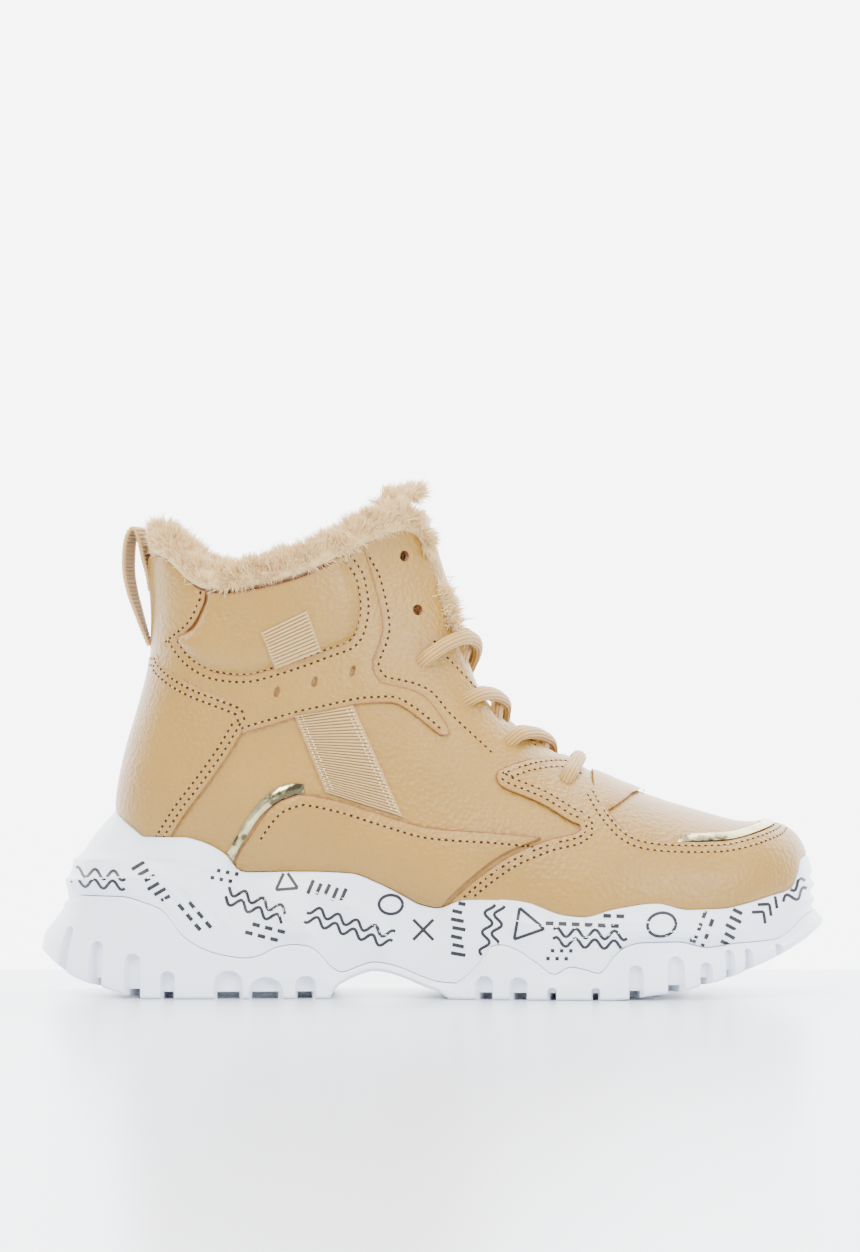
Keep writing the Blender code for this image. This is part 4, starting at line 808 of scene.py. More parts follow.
def ring_frame(ring, inward, x, side):
    half = len(ring) // 2
    if side < 0:
        order = np.arange(0, half + 1)
    else:
        order = np.concatenate([[0], np.arange(len(ring) - 1, half - 1, -1)])
    shares = share(ring[order, 0])
    spot = np.array([np.interp(x, shares, ring[order, k]) for k in (0, 1)])
    way = np.array([np.interp(x, shares, inward[order, k]) for k in (0, 1)])
    return spot, way / np.linalg.norm(way)


def arch_tool(points, faces, spot, way, width, reach, low, high, flare=1.25):
    """Adds an upright cutter with a round top and a mouth that widens outwards."""
    side = np.array([-way[1], way[0]])
    base = len(points)
    radius = width / 2
    straight = max(high - radius, low + 0.001)
    profile = [(-radius, low), (radius, low)]
    profile += [(radius * math.cos(t), straight + radius * math.sin(t)) for t in np.linspace(0, math.pi, 9)]
    for far, grow in ((-0.006, flare + 0.3), (0.0, flare), (reach, 0.9)):
        for across, z in profile:
            x, y = spot + way * far + side * across * grow
            points.append((x, y, z))
    count = len(profile)
    faces.append([base + k for k in range(count)])
    faces.append([base + 2 * count + k for k in reversed(range(count))])
    for r in (0, 1):
        for k in range(count):
            n = (k + 1) % count
            a, b = base + r * count, base + (r + 1) * count
            faces.append((a + k, a + n, b + n, b + k))


def block(points, faces, corner, edges):
    a, b, c = [np.asarray(e, float) for e in edges]
    base = len(points)
    for i in (0, 1):
        for j in (0, 1):
            for k in (0, 1):
                points.append(tuple(np.asarray(corner, float) + a * i + b * j + c * k))
    for quad in ((0, 1, 3, 2), (4, 6, 7, 5), (0, 4, 5, 1), (2, 3, 7, 6), (0, 2, 6, 4), (1, 5, 7, 3)):
        faces.append([base + q for q in quad])


def sole_cutters():
    ring, inward = shifted_ring()
    notch, groove, chevron = ([], []), ([], []), ([], [])
    for x, width, top in NOTCHES:
        for side in (-1, 1):
            spot, way = ring_frame(ring, inward, x, side)
            low = float(read_line(UNDERSIDE, x))
            lean = np.interp(x, [0, 0.14], [HEEL_LEAN, SIDE_LEAN])
            arch_tool(*notch, spot, way, width, NOTCH_DEPTH + lean * 0.5, low - 0.004, float(level(top)))
            across = np.array([-way[1], way[0]]) * (width - 0.0006)
            corner = spot - way * 0.005 - across / 2
            block(*groove, (*corner, low - 0.004),
                  ((*(way * (TREAD_REACH + 0.005)), 0), (*across, 0), (0, 0, 0.004 + TREAD_DEPTH)))
    for x, slant in CHEVRONS:
        for side in (-1, 1):
            start = np.array([float(along(x)), side * 0.002 + SHIFT])
            tip = np.array([float(along(x + slant)), side * 0.024 + SHIFT])
            way = tip - start
            across = np.array([-way[1], way[0]]) / np.linalg.norm(way) * TREAD_WIDTH * 0.5
            block(*chevron, (*(start - across / 2), float(read_line(UNDERSIDE, x)) - 0.004),
                  ((*way, 0), (*across, 0), (0, 0, 0.004 + TREAD_DEPTH * 0.7)))
    return [outward(mesh_object(name, *made)) for name, made in
            (("notches", notch), ("grooves", groove), ("chevrons", chevron))]


def cup_edge(tree, ring, inward, z_guess):
    insets = []
    for (x, y), (nx, ny), z in zip(ring, inward, z_guess):
        hit = tree.ray_cast(Vector((x - nx * 0.03, y - ny * 0.03, z)), Vector((nx, ny, 0)), 0.12)
        insets.append(hit[3] - 0.03 if hit[0] else 0.02)
    return np.array(insets)


def midsole_mesh(name, tree, grow=0.0, relief=True, count=SOLE_RINGS):
    ring, inward = shifted_ring()
    under, seat, ledge = sole_lines(ring)
    lean = lean_of(ring)
    top = smooth_line(CUP_LINE, share(ring[:, 0]))
    for _ in range(3):
        inset = cup_edge(tree, ring, inward, top)
        edge = ring + inward * inset[:, None]
        top = smooth_line(CUP_LINE, share(edge[:, 0]))
    top = top + grow
    inset = cup_edge(tree, ring, inward, top)
    start = lean + LEDGE - grow
    finish = np.maximum(inset - LIP - grow, start)
    bend = 1.9 + 2.6 * toe_share(ring)
    base = ledge + GAP
    rings = [
        ring_at(ring, inward, lean + SHELL + 2 * GAP + 0.002, seat + GAP),
        ring_at(ring, inward, lean + SHELL + GAP, base - GAP / 4),
        ring_at(ring, inward, start, base),
    ]
    for part in np.linspace(0, 1, count)[1:-1]:
        spots = ring_at(ring, inward, start + (finish - start) * part**bend, base + (top - 0.0007 - base) * part)
        if relief:
            rise = side_relief(spots) * min(1.0, 6 * part, 5 * (1 - part))
            spots[:, :2] -= inward * rise[:, None]
        rings.append(spots)
    rings.append(ring_at(ring, inward, finish + 0.00002, top - 0.0007))
    rings.append(ring_at(ring, inward, finish + 0.0003, top - 0.0002))
    rings.append(ring_at(ring, inward, finish + 0.0008, top))
    rings.append(ring_at(ring, inward, inset + 0.0004, top))
    rings.append(ring_at(ring, inward, inset + LIP_TURN, top - 0.001))
    return ring_solid(name, rings)


# Leather pieces


def collar_cutter():
    flat = list(spline(flat_points(COLLAR_LINE), 5))
    flat += [tuple(p) for p in flat_points(((0.70, 1.500), (0.70, 2.3), (0.02, 2.3), (0.02, 1.757)))]
    return prism_solid("above_collar", flat, -0.09, 0.09)


def ridge_line(count, first=0.0, last=1.0):
    """The front ridge of the form in side view, with outward directions."""
    grid = form_grid(120, 8)
    ridge = grid[:, 4][:, [0, 2]]
    place = np.linspace(first, last, count) * (len(ridge) - 1)
    index = np.arange(len(ridge))
    spots = np.array([np.interp(place, index, ridge[:, k]) for k in (0, 1)]).T
    way = np.gradient(spots, axis=0)
    way /= np.linalg.norm(way, axis=1, keepdims=True)
    out = np.stack([way[:, 1], -way[:, 0]], 1)
    out *= np.sign(out[:, :1] + out[:, 1:])
    return spots, out


def throat_start():
    spots, _ = ridge_line(300)
    target = float(along(EYELETS[-1][0] + 0.012))
    return float(np.argmin(abs(spots[:, 0] - target) + 10 * (spots[:, 1] > level(1.3)))) / 299


def throat_cutter():
    spots, out = ridge_line(60, throat_start(), 1.0)
    points, faces = [], []
    for k, ((x, z), (nx, nz)) in enumerate(zip(spots, out)):
        t = k / (len(spots) - 1)
        grow = math.sqrt(min(1.0, (t + 0.004) / 0.11))
        half = grow * (THROAT_FOOT_WIDTH + (THROAT_WIDTH - THROAT_FOOT_WIDTH) * min(1.0, 1.6 * t)) / 2
        for rise in (-0.016, 0.016):
            for y in (-half, half):
                points.append((x + nx * rise, y + SHIFT, z + nz * rise))
    for k in range(len(spots) - 1):
        base = 4 * k
        for a, b in ((0, 1), (1, 3), (3, 2), (2, 0)):
            faces.append((base + a, base + b, base + 4 + b, base + 4 + a))
    faces.append((0, 1, 3, 2))
    last = 4 * (len(spots) - 1)
    faces.append((last + 2, last + 3, last + 1, last))
    return outward(mesh_object("throat", points, faces))


def bottom_cutter():
    rows = section_rows(60)
    picked = [row for row in rows if share(row[0]) < 0.95 and row[1] < level(0.60)]
    points, faces = [], []
    for low_x, low_z, high_x, high_z, half, sway, *_ in picked:
        x = float(np.clip(low_x, along(0.15), along(0.93)))
        for z in (low_z - 0.02, low_z + 0.006):
            for side in (-1, 1):
                points.append((x, sway + SHIFT + side * (half - BOTTOM_MARGIN), z))
    for k in range(len(picked) - 1):
        base = 4 * k
        for a, b in ((0, 1), (1, 3), (3, 2), (2, 0)):
            faces.append((base + a, base + b, base + 4 + b, base + 4 + a))
    faces.append((0, 1, 3, 2))
    last = 4 * (len(picked) - 1)
    faces.append((last + 2, last + 3, last + 1, last))
    return outward(mesh_object("bottom_opening", points, faces))


def surface_hit(tree, x, z, side):
    hit = tree.ray_cast(Vector((x, side * 0.12, z)), Vector((0, -side, 0)), 0.24)
    return hit if hit[0] else None


def eyelet_cutter(tree):
    points, faces = [], []
    sides = 20
    for x, h in EYELETS:
        for side in (-1, 1):
            spot, normal, *_ = surface_hit(tree, float(along(x)), float(level(h)), side)
            if normal.y * side < 0:
                normal = -normal
            across = normal.orthogonal().normalized()
            other = normal.cross(across)
            base = len(points)
            for depth in (-0.006, 0.006):
                for k in range(sides):
                    turn = 2 * math.pi * k / sides
                    ring = across * math.cos(turn) + other * math.sin(turn)
                    points.append(tuple(spot + normal * depth + ring * EYELET / 2))
            faces.append([base + k for k in range(sides)])
            faces.append([base + sides + k for k in reversed(range(sides))])
            for k in range(sides):
                n = (k + 1) % sides
                faces.append((base + k, base + n, base + sides + n, base + sides + k))
    return outward(mesh_object("eyelet_holes", points, faces))


def slot_cutter():
    flat_all, faces = [], []
    for x, h in SLOTS:
        centre = flat_points(((x, h),))[0]
        turn = math.radians(76)
        way, wide = np.array([math.cos(turn), math.sin(turn)]), np.array([-math.sin(turn), math.cos(turn)])
        loop = []
        for k in range(16):
            t = 2 * math.pi * k / 16
            stretch = 0.0011 if math.cos(t) > 0 else -0.0011
            loop.append(centre + way * (stretch + 0.00085 * math.cos(t)) + wide * 0.00085 * math.sin(t))
        base = len(flat_all)
        flat_all += [(p[0], -0.12, p[1]) for p in loop] + [(p[0], 0.12, p[1]) for p in loop]
        faces.append([base + k for k in range(16)])
        faces.append([base + 31 - k for k in range(16)])
        for k in range(16):
            n = (k + 1) % 16
            faces.append((base + k, base + n, base + n + 16, base + k + 16))
    return outward(mesh_object("slots", flat_all, faces))


def dress_edges(piece, tree, lift, thickness, radius, drop_share, pillow=0.0, reach=0.009):
    """Rounds the rim of a cut piece and gives its cut faces the second material slot. A
    pillow swells the middle of a padded piece."""
    mesh = piece.data
    spots = positions(mesh)
    found = [tree.find_nearest(Vector(p)) for p in spots]
    base = np.array([tuple(f[0]) for f in found])
    normal = np.array([tuple(f[1]) for f in found])
    gap = ((spots - base) * normal).sum(1)
    facing = np.sign(np.median(gap[np.abs(gap) > lift * 0.5])) if len(gap) else 1.0
    gap, normal = gap * facing, normal * facing
    outer = gap > lift + thickness * 0.6
    wall_faces = []
    for face in mesh.polygons:
        way = tree.find_nearest(face.center)[1]
        if abs(face.normal.dot(way)) < 0.62:
            wall_faces.append(face.index)
    rim = []
    for index in wall_faces:
        corners = [v for v in mesh.polygons[index].vertices if outer[v]]
        for a, b in zip(corners, corners[1:]):
            length = np.linalg.norm(spots[a] - spots[b])
            for t in np.linspace(0, 1, max(2, int(length / 0.0005))):
                rim.append(spots[a] * (1 - t) + spots[b] * t)
        rim += [spots[v] for v in corners]
    if pillow:
        rim = [p for p in rim if p[2] < smooth_or_flat(p[0]) - 0.0012]
    if rim:
        kd = KDTree(len(rim))
        for k, p in enumerate(rim):
            kd.insert(Vector(p), k)
        kd.balance()
        far = np.array([kd.find(Vector(p))[2] if out else 0.0 for p, out in zip(spots, outer)])
        near = np.clip(1 - far / radius, 0, 1)
        swell = np.clip(far / reach, 0, 1)
        below = np.clip((smooth_or_flat(spots[:, 0]) - spots[:, 2]) / 0.016, 0, 1)
        move = -thickness * drop_share * near**2 + pillow * (1 - (1 - swell) ** 2) * (0.35 + 0.65 * below)
        spots = spots + normal * (move * outer)[:, None]
        mesh.vertices.foreach_set("co", spots.ravel())
    for index in wall_faces:
        mesh.polygons[index].material_index = 1
    mesh.update()
    return piece


def finish_mesh(piece, angle=42):
    shape = bmesh.new()
    shape.from_mesh(piece.data)
    bmesh.ops.remove_doubles(shape, verts=shape.verts, dist=1e-5)
    bmesh.ops.dissolve_degenerate(shape, edges=shape.edges, dist=1e-5)
    shape.to_mesh(piece.data)
    shape.free()
    piece.data.shade_smooth()
    piece.data.set_sharp_from_angle(angle=math.radians(angle))
    return piece


def cut_piece(name, outline, side, lift, thickness, cutters, tree, surface, edge,
              radius=0.0013, drop_share=0.42, pillow=0.0):
    """A leather or foil piece: a shell over the form, cut to its outline."""
    low, high = {0: (-0.12, 0.12), -1: (-0.12, SHIFT), 1: (SHIFT, 0.12)}[side]
    piece = shell_solid(name, lift + thickness, lift)
    combine(piece, prism_solid("outline", smooth_outline(outline)[0], low, high), "INTERSECT")
    for cutter in cutters:
        combine(piece, cutter, "DIFFERENCE", keep=True)
    piece.data.materials.clear()
    piece.data.materials.append(surface)
    piece.data.materials.append(edge)
    for face in piece.data.polygons:
        face.material_index = 0
    finish_mesh(piece)
    return dress_edges(piece, tree, lift, thickness, radius, drop_share, pillow)


# Things that repeat: instanced by Geometry Nodes on points that carry their directions


def bake_tree(base, tree, values, material):
    """Runs a node tree on an object with its inputs set, and keeps the result as its mesh."""
    step = base.modifiers.new("tree", "NODES")
    step.node_group = tree
    for socket, value in values.items():
        step[socket.identifier] = value
    bpy.context.view_layer.update()
    graph = bpy.context.evaluated_depsgraph_get()
    mesh = bpy.data.meshes.new_from_object(base.evaluated_get(graph))
    mesh.name = base.name
    old = base.data
    base.modifiers.clear()
    base.data = mesh
    bpy.data.meshes.remove(old)
    for label in ("way", "out", "size"):
        if label in mesh.attributes:
            mesh.attributes.remove(mesh.attributes[label])
    mesh.materials.clear()
    mesh.materials.append(material)
    mesh.polygons.foreach_set("material_index", np.zeros(len(mesh.polygons), dtype=np.int32))
    mesh.shade_smooth()
    if not len(mesh.polygons):
        raise RuntimeError(f"{base.name}: the node tree made nothing")


def give_ribs(thing, values):
    """Keeps how high a rib stands at each point, from 0 in a furrow to 1 on a rib; the tape and lace finishes read
    it to paint shade in the furrows and a highlight on the ribs.
    """
    layer = thing.data.attributes.new("rib", "FLOAT", "POINT")
    layer.data.foreach_set("value", np.asarray(values, float))


def scatter(name, spots, ways, outs, sizes, unit, material):
    """A mesh of copies of a unit shape, one on each point, turned to the point's directions."""
    base = mesh_object(name, spots, [], smooth=False)
    for label, values in (("way", ways), ("out", outs), ("size", sizes)):
        layer = base.data.attributes.new(label, "FLOAT_VECTOR", "POINT")
        layer.data.foreach_set("vector", np.asarray(values, float).ravel())
    tree = bpy.data.node_groups.new(name, "GeometryNodeTree")
    tree.interface.new_socket("Geometry", in_out="INPUT", socket_type="NodeSocketGeometry")
    grow = tree.interface.new_socket("Scale", in_out="INPUT", socket_type="NodeSocketFloat")
    seed = tree.interface.new_socket("Seed", in_out="INPUT", socket_type="NodeSocketInt")
    tree.interface.new_socket("Geometry", in_out="OUTPUT", socket_type="NodeSocketGeometry")
    put = add_node
    enter = put(tree, "NodeGroupInput")
    shape = put(tree, "GeometryNodeObjectInfo", inputs={"Object": unit})
    read = {label: put(tree, "GeometryNodeInputNamedAttribute", data_type="FLOAT_VECTOR",
                       inputs={"Name": label}) for label in ("way", "out", "size")}
    first = put(tree, "FunctionNodeAlignRotationToVector", axis="X",
                links={"Vector": read["way"].outputs["Attribute"]})
    second = put(tree, "FunctionNodeAlignRotationToVector", axis="Z", pivot_axis="X",
                 links={"Rotation": first.outputs["Rotation"], "Vector": read["out"].outputs["Attribute"]})
    jitter = put(tree, "FunctionNodeRandomValue", data_type="FLOAT",
                 links={"Seed": enter.outputs["Seed"]})
    jitter.inputs[2].default_value, jitter.inputs[3].default_value = 0.94, 1.06
    both = put(tree, "ShaderNodeMath", operation="MULTIPLY",
               links={0: jitter.outputs[1], 1: enter.outputs["Scale"]})
    scale = put(tree, "ShaderNodeVectorMath", operation="SCALE",
                links={0: read["size"].outputs["Attribute"], "Scale": both.outputs[0]})
    copies = put(tree, "GeometryNodeInstanceOnPoints", links={
        "Points": enter.outputs["Geometry"], "Instance": shape.outputs["Geometry"],
        "Rotation": second.outputs["Rotation"], "Scale": scale.outputs["Vector"]})
    real = put(tree, "GeometryNodeRealizeInstances", links={"Geometry": copies.outputs["Instances"]})
    paint = put(tree, "GeometryNodeSetMaterial", inputs={"Material": material},
                links={"Geometry": real.outputs["Geometry"]})
    put(tree, "NodeGroupOutput", links={"Geometry": paint.outputs["Geometry"]})
    bake_tree(base, tree, {grow: 1.0, seed: 7}, material)
    drop(unit)
    return base


def grain_unit(name, rows=5, sides=6, power=0.55):
    """A short plump thread from -0.5 to 0.5 along X, half a unit thick."""
    points, faces = [(-0.5, 0, 0)], []
    for r in range(1, rows):
        x = -0.5 + r / rows
        wide = (1 - (2 * x) ** 2) ** power * 0.5
        for k in range(sides):
            t = 2 * math.pi * k / sides
            points.append((x, wide * math.cos(t), wide * math.sin(t)))
    points.append((0.5, 0, 0))
    last = len(points) - 1
    for k in range(sides):
        n = (k + 1) % sides
        faces.append((0, 1 + n, 1 + k))
        faces.append((last, last - sides + k, last - sides + n))
    for r in range(rows - 2):
        for k in range(sides):
            n = (k + 1) % sides
            a, b = 1 + r * sides, 1 + (r + 1) * sides
            faces.append((a + k, a + n, b + n, b + k))
    return mesh_object(name, points, faces)


def strand_unit(name, curl, sides=3, rows=3):
    """A tapering hair from 0 to 1 along X that curls up towards Z."""
    points, faces = [], []
    for r in range(rows):
        t = r / rows
        wide = 0.5 * (1 - 0.75 * t)
        x, z = t * (1 - 0.25 * curl * t), curl * t * t
        for k in range(sides):
            a = 2 * math.pi * k / sides
            points.append((x, wide * math.cos(a), z * 1.0 + wide * math.sin(a)))
    points.append((1 - 0.25 * curl, 0, curl))
    for r in range(rows - 1):
        for k in range(sides):
            n = (k + 1) % sides
            faces.append((r * sides + k, r * sides + n, (r + 1) * sides + n, (r + 1) * sides + k))
    for k in range(sides):
        faces.append(((rows - 1) * sides + k, (rows - 1) * sides + (k + 1) % sides, len(points) - 1))
    return mesh_object(name, points, faces)


def inset_run(outline, first, last, inset):
    """The stretch of an outline between two of its points, moved inwards."""
    smooth, places = smooth_outline(outline, steps=8)
    ahead, behind = np.roll(smooth, -1, 0), np.roll(smooth, 1, 0)
    way = ahead - behind
    way /= np.linalg.norm(way, axis=1, keepdims=True) + 1e-12
    area = (smooth[:, 0] * ahead[:, 1] - ahead[:, 0] * smooth[:, 1]).sum()
    normal = np.stack([-way[:, 1], way[:, 0]], 1) * (1 if area > 0 else -1)
    a, b = places[first], places[last]
    if b <= a:
        b += len(smooth)
    picked = [k % len(smooth) for k in range(a, b + 1)]
    line = smooth[picked] + normal[picked] * inset
    keep = [0]
    for k in range(1, len(line)):
        if (line[k] - line[keep[-1]]) @ way[picked[k]] > 0.0001:
            keep.append(k)
    return line[keep]


def project_run(line, tree, side, clear=None):
    """A side-view line laid on the surface, as stretches of points with normals."""
    length = np.concatenate([[0], np.cumsum(np.linalg.norm(np.diff(line, axis=0), axis=1))])
    place = np.arange(0, length[-1], 0.0004)
    dense = np.array([np.interp(place, length, line[:, k]) for k in (0, 1)]).T
    runs, run = [], []
    for x, z in dense:
        hit = surface_hit(tree, x, z, side)
        fine = hit is not None and abs(hit[1].y) > 0.12
        if fine and clear is not None:
            other = surface_hit(clear, x, z, side)
            fine = other is None or (hit[0].y - other[0].y) * side > 0
        if fine and run and (hit[0] - run[-1][0]).length > 0.004:
            runs.append(run)
            run = []
        if fine:
            normal = hit[1] if hit[1].y * side > 0 else -hit[1]
            run.append((hit[0], normal))
        elif run:
            runs.append(run)
            run = []
    if run:
        runs.append(run)
    return [r for r in runs if len(r) > 8]


def stitch_points(run, pitch):
    spots = np.array([tuple(p) for p, n in run])
    normals = np.array([tuple(n) for p, n in run])
    length = np.concatenate([[0], np.cumsum(np.linalg.norm(np.diff(spots, axis=0), axis=1))])
    place = np.arange(pitch * 0.5, length[-1], pitch)
    centre = np.array([np.interp(place, length, spots[:, k]) for k in range(3)]).T
    normal = np.array([np.interp(place, length, normals[:, k]) for k in range(3)]).T
    ahead = np.array([np.interp(place + 0.0004, length, spots[:, k]) for k in range(3)]).T
    behind = np.array([np.interp(place - 0.0004, length, spots[:, k]) for k in range(3)]).T
    way = ahead - behind
    way /= np.linalg.norm(way, axis=1, keepdims=True) + 1e-12
    normal /= np.linalg.norm(normal, axis=1, keepdims=True)
    return centre, way, normal


def sweep(name, centre, normals, profile, material, ribs=None):
    """A solid of a profile swept along a line. The profile is in (across, up), in metres."""
    centre = np.asarray(centre, float)
    way = np.gradient(centre, axis=0)
    way /= np.linalg.norm(way, axis=1, keepdims=True)
    points, faces = [], []
    count = len(profile)
    for spot, tangent, normal in zip(centre, way, np.asarray(normals, float)):
        across = np.cross(tangent, normal)
        across /= np.linalg.norm(across)
        up = np.cross(across, tangent)
        points += [spot + across * a + up * b for a, b in profile]
    for r in range(len(centre) - 1):
        for k in range(count):
            n = (k + 1) % count
            faces.append((r * count + k, r * count + n, (r + 1) * count + n, (r + 1) * count + k))
    faces.append(list(range(count)))
    faces.append([(len(centre) - 1) * count + k for k in reversed(range(count))])
    made = mesh_object(name, points, faces)
    if ribs is not None:
        give_ribs(made, np.tile(ribs, len(centre)))
    outward(made)
    made.data.materials.append(material)
    return made


def joined(name, things):
    """One object from several, its materials and ribs kept."""
    shape = bmesh.new()
    if any("rib" in thing.data.attributes for thing in things):
        shape.verts.layers.float.new("rib")
    mesh = bpy.data.meshes.new(name)
    for thing in things:
        for material in thing.data.materials:
            if material.name not in [m.name for m in mesh.materials]:
                mesh.materials.append(material)
    names = [m.name for m in mesh.materials]
    for thing in things:
        own = [names.index(m.name) for m in thing.data.materials]
        start = len(shape.faces)
        shape.from_mesh(thing.data)
        shape.faces.ensure_lookup_table()
        for face in shape.faces[start:]:
            face.material_index = own[face.material_index] if own else 0
    shape.to_mesh(mesh)
    shape.free()
    made = bpy.data.objects.new(name, mesh)
    bpy.context.scene.collection.objects.link(made)
    for thing in things:
        drop(thing)
    return made


def lace_line(tree, start, finish, side, rise, dive, count=44):
    """Centre line of a lace: out of one eyelet, over the throat, down under the far side."""
    a = np.array(tuple(surface_hit(tree, float(along(start[0])), float(level(start[1])), side)[0]))
    b = np.array(tuple(surface_hit(tree, float(along(finish[0])), float(level(finish[1])), -side)[0]))
    inside = np.array([-0.02, 0, -0.03]) + (a + b) / 2 * np.array([1, 0, 1])
    centre, normals = [], []
    for t in np.linspace(-0.05, dive, count):
        flat = a + (b - a) * t
        way = flat - inside
        way /= np.linalg.norm(way)
        hit = tree.ray_cast(Vector(flat + way * 0.05), Vector(-way), 0.1)
        skin = np.array(tuple(hit[0])) if hit[0] else flat
        normal = np.array(tuple(hit[1])) if hit[0] else way
        if normal @ way < 0:
            normal = -normal
        come = np.clip((t + 0.05) / 0.10, 0, 1)
        come = come * come * (3 - 2 * come)
        go = np.clip((t - dive * 0.62) / (dive * 0.38), 0, 1)
        go = go * go * (3 - 2 * go)
        if dive > 0.99:
            go = np.clip((t - 0.95) / 0.10, 0, 1)
            go = go * go * (3 - 2 * go)
        lift = 0.0029 + (rise - 0.0022) * math.sin(math.pi * np.clip(t, 0, 1)) ** 2
        lift = -0.004 + (lift + 0.004) * come
        lift -= (0.0060 + rise * 0.5) * go
        centre.append(skin + normal * lift)
        normals.append(normal)
    normals = np.array(normals)
    for _ in range(6):
        normals[1:-1] = (normals[:-2] + normals[1:-1] + normals[2:]) / 3
    centre = np.array(centre)
    for _ in range(3):
        centre[1:-1] = (centre[:-2] + 2 * centre[1:-1] + centre[2:]) / 4
    fine = spline(centre, 3)
    index = np.arange(len(centre))
    place = np.linspace(0, len(centre) - 1, len(fine))
    return fine, np.array([np.interp(place, index, normals[:, k]) for k in range(3)]).T


def ribbed_oval(width, thickness, ribs=11, depth=0.06, count=66):
    """An oval with scalloped ribs, and how high the rib stands at each of its points."""
    profile, heights = [], []
    for k in range(count):
        t = 2 * math.pi * k / count
        rib = abs(math.sin(ribs * t / 2))
        r = 1 + depth * (2 * rib - 1)
        profile.append((math.cos(t) * width / 2 * r, math.sin(t) * thickness / 2 * r))
        heights.append(rib)
    return profile, heights


def ribbed_patch(name, corners, lift, tree, ribs, side, material, edge=0.0012):
    """A ribbed tape laid on the surface between four corners in side view, given as its
    first end from left to right and its last end from right to left."""
    a, b, c, d = flat_points(corners)
    across, down = 16, ribs * 8
    grid, heights = [], []
    for j in range(down + 1):
        v = j / down
        left, right = a + (d - a) * v, b + (c - b) * v
        row = []
        for i in range(across + 1):
            u = i / across
            x, z = left + (right - left) * u
            hit = surface_hit(tree, x, z, side)
            if hit is None:
                raise ValueError(f"{name} leaves the boot at {x:.3f} {z:.3f}")
            normal = np.array(tuple(hit[1])) * (1 if hit[1].y * side > 0 else -1)
            rib = (0.5 - 0.5 * math.cos(2 * math.pi * v * ribs)) ** 0.6
            rib = rib if min(u, 1 - u) > 0.03 else 0.8
            row.append((np.array(tuple(hit[0])), normal, lift + RIB_HEIGHT * rib))
            heights.append(rib)
        grid.append(row)
    points = [p + n * rise for row in grid for p, n, rise in row]
    points += [p - n * 0.0004 for row in grid for p, n, rise in row]
    wide, size = across + 1, (across + 1) * (down + 1)
    faces = []
    for j in range(down):
        for i in range(across):
            q = (j * wide + i, j * wide + i + 1, (j + 1) * wide + i + 1, (j + 1) * wide + i)
            faces.append(q)
            faces.append([size + k for k in reversed(q)])
    rim = [i for i in range(wide)] + [(j + 1) * wide - 1 for j in range(1, down + 1)]
    rim += [down * wide + i for i in reversed(range(across))] + [j * wide for j in reversed(range(1, down))]
    for k, p in enumerate(rim):
        n = rim[(k + 1) % len(rim)]
        faces.append((p, n, size + n, size + p))
    made = mesh_object(name, points, faces)
    give_ribs(made, heights + heights)
    outward(made)
    made.data.materials.append(material)
    return made


def collar_edge(count):
    """Where the form meets the top line of the leather, from the front on the outer side
    round the back, as point, outward direction and the way up along the skin."""
    grid = form_grid(260, 240)
    normals = grid_normals(grid)
    first = 150
    edge = []
    for k in list(range(117, -1, -1)) + list(range(239, 122, -1)):
        column = grid[first:, k]
        over = column[:, 2] - smooth_or_flat(column[:, 0])
        above = np.nonzero((over[1:] >= 0) & (over[:-1] < 0))[0]
        if len(above):
            i = above[0]
            t = -over[i] / (over[i + 1] - over[i])
            spot = column[i] + (column[i + 1] - column[i]) * t
            low = max(0, i - 14)
            edge.append(np.concatenate([spot, normals[first + i, k], column[low]]))
    edge = np.array(edge)
    run = np.concatenate([[0], np.cumsum(np.linalg.norm(np.diff(edge[:, :3], axis=0), axis=1))])
    pick = np.linspace(0, run[-1], count)
    return np.array([np.interp(pick, run, column) for column in edge.T]).T


def smooth_or_flat(x):
    return read_line(COLLAR_LINE, share(x))


def random_around(rng, count, spread):
    return rng.normal(0, spread, (count, 3))


def hairs(name, roots, ways, lengths, width, unit_curls, material, rng, spread=0.30, clump=0.0035):
    """Hairs on root points: neighbours lean together in tufts."""
    cells = np.round(roots / clump).astype(int)
    keys = (cells * np.array([73856093, 19349663, 83492791])).sum(1)
    tuft = np.zeros((len(roots), 3))
    stretch = np.ones(len(roots))
    for key in np.unique(keys):
        local = np.random.default_rng(abs(int(key)) % (2**31))
        lean = local.normal(0, 0.42, 3)
        long = local.uniform(0.8, 1.25)
        tuft[keys == key] = lean
        stretch[keys == key] = long
    way = ways + tuft + random_around(rng, len(roots), spread)
    way /= np.linalg.norm(way, axis=1, keepdims=True)
    outs = random_around(rng, len(roots), 1.0)
    length = lengths * stretch * rng.uniform(0.75, 1.15, len(roots))
    sizes = np.stack([length, np.full(len(roots), width) * rng.uniform(0.7, 1.2, len(roots)),
                      np.full(len(roots), width)], 1)
    made = []
    pick = rng.integers(0, len(unit_curls), len(roots))
    for k, curl in enumerate(unit_curls):
        chosen = pick == k
        size = sizes[chosen].copy()
        size[:, 2] = size[:, 1]
        made.append(scatter(f"{name}_{k}", roots[chosen], way[chosen], outs[chosen], size,
                            strand_unit("hair", curl), material))
    return joined(name, made)


# Materials


def linear(code):
    """An sRGB hex colour as linear values."""
    values = [int(code[k:k + 2], 16) / 255 for k in (1, 3, 5)]
    return tuple(v / 12.92 if v <= 0.04045 else ((v + 0.055) / 1.055) ** 2.4 for v in values) + (1.0,)


def add_node(tree, kind, inputs=None, links=None, **settings):
    """A node with its settings, its inputs' values and its links."""
    made = tree.nodes.new(kind)
    for key, value in settings.items():
        setattr(made, key, value)
    for key, value in (inputs or {}).items():
        made.inputs[key].default_value = value
    for key, socket in (links or {}).items():
        tree.links.new(socket, made.inputs[key])
    return made


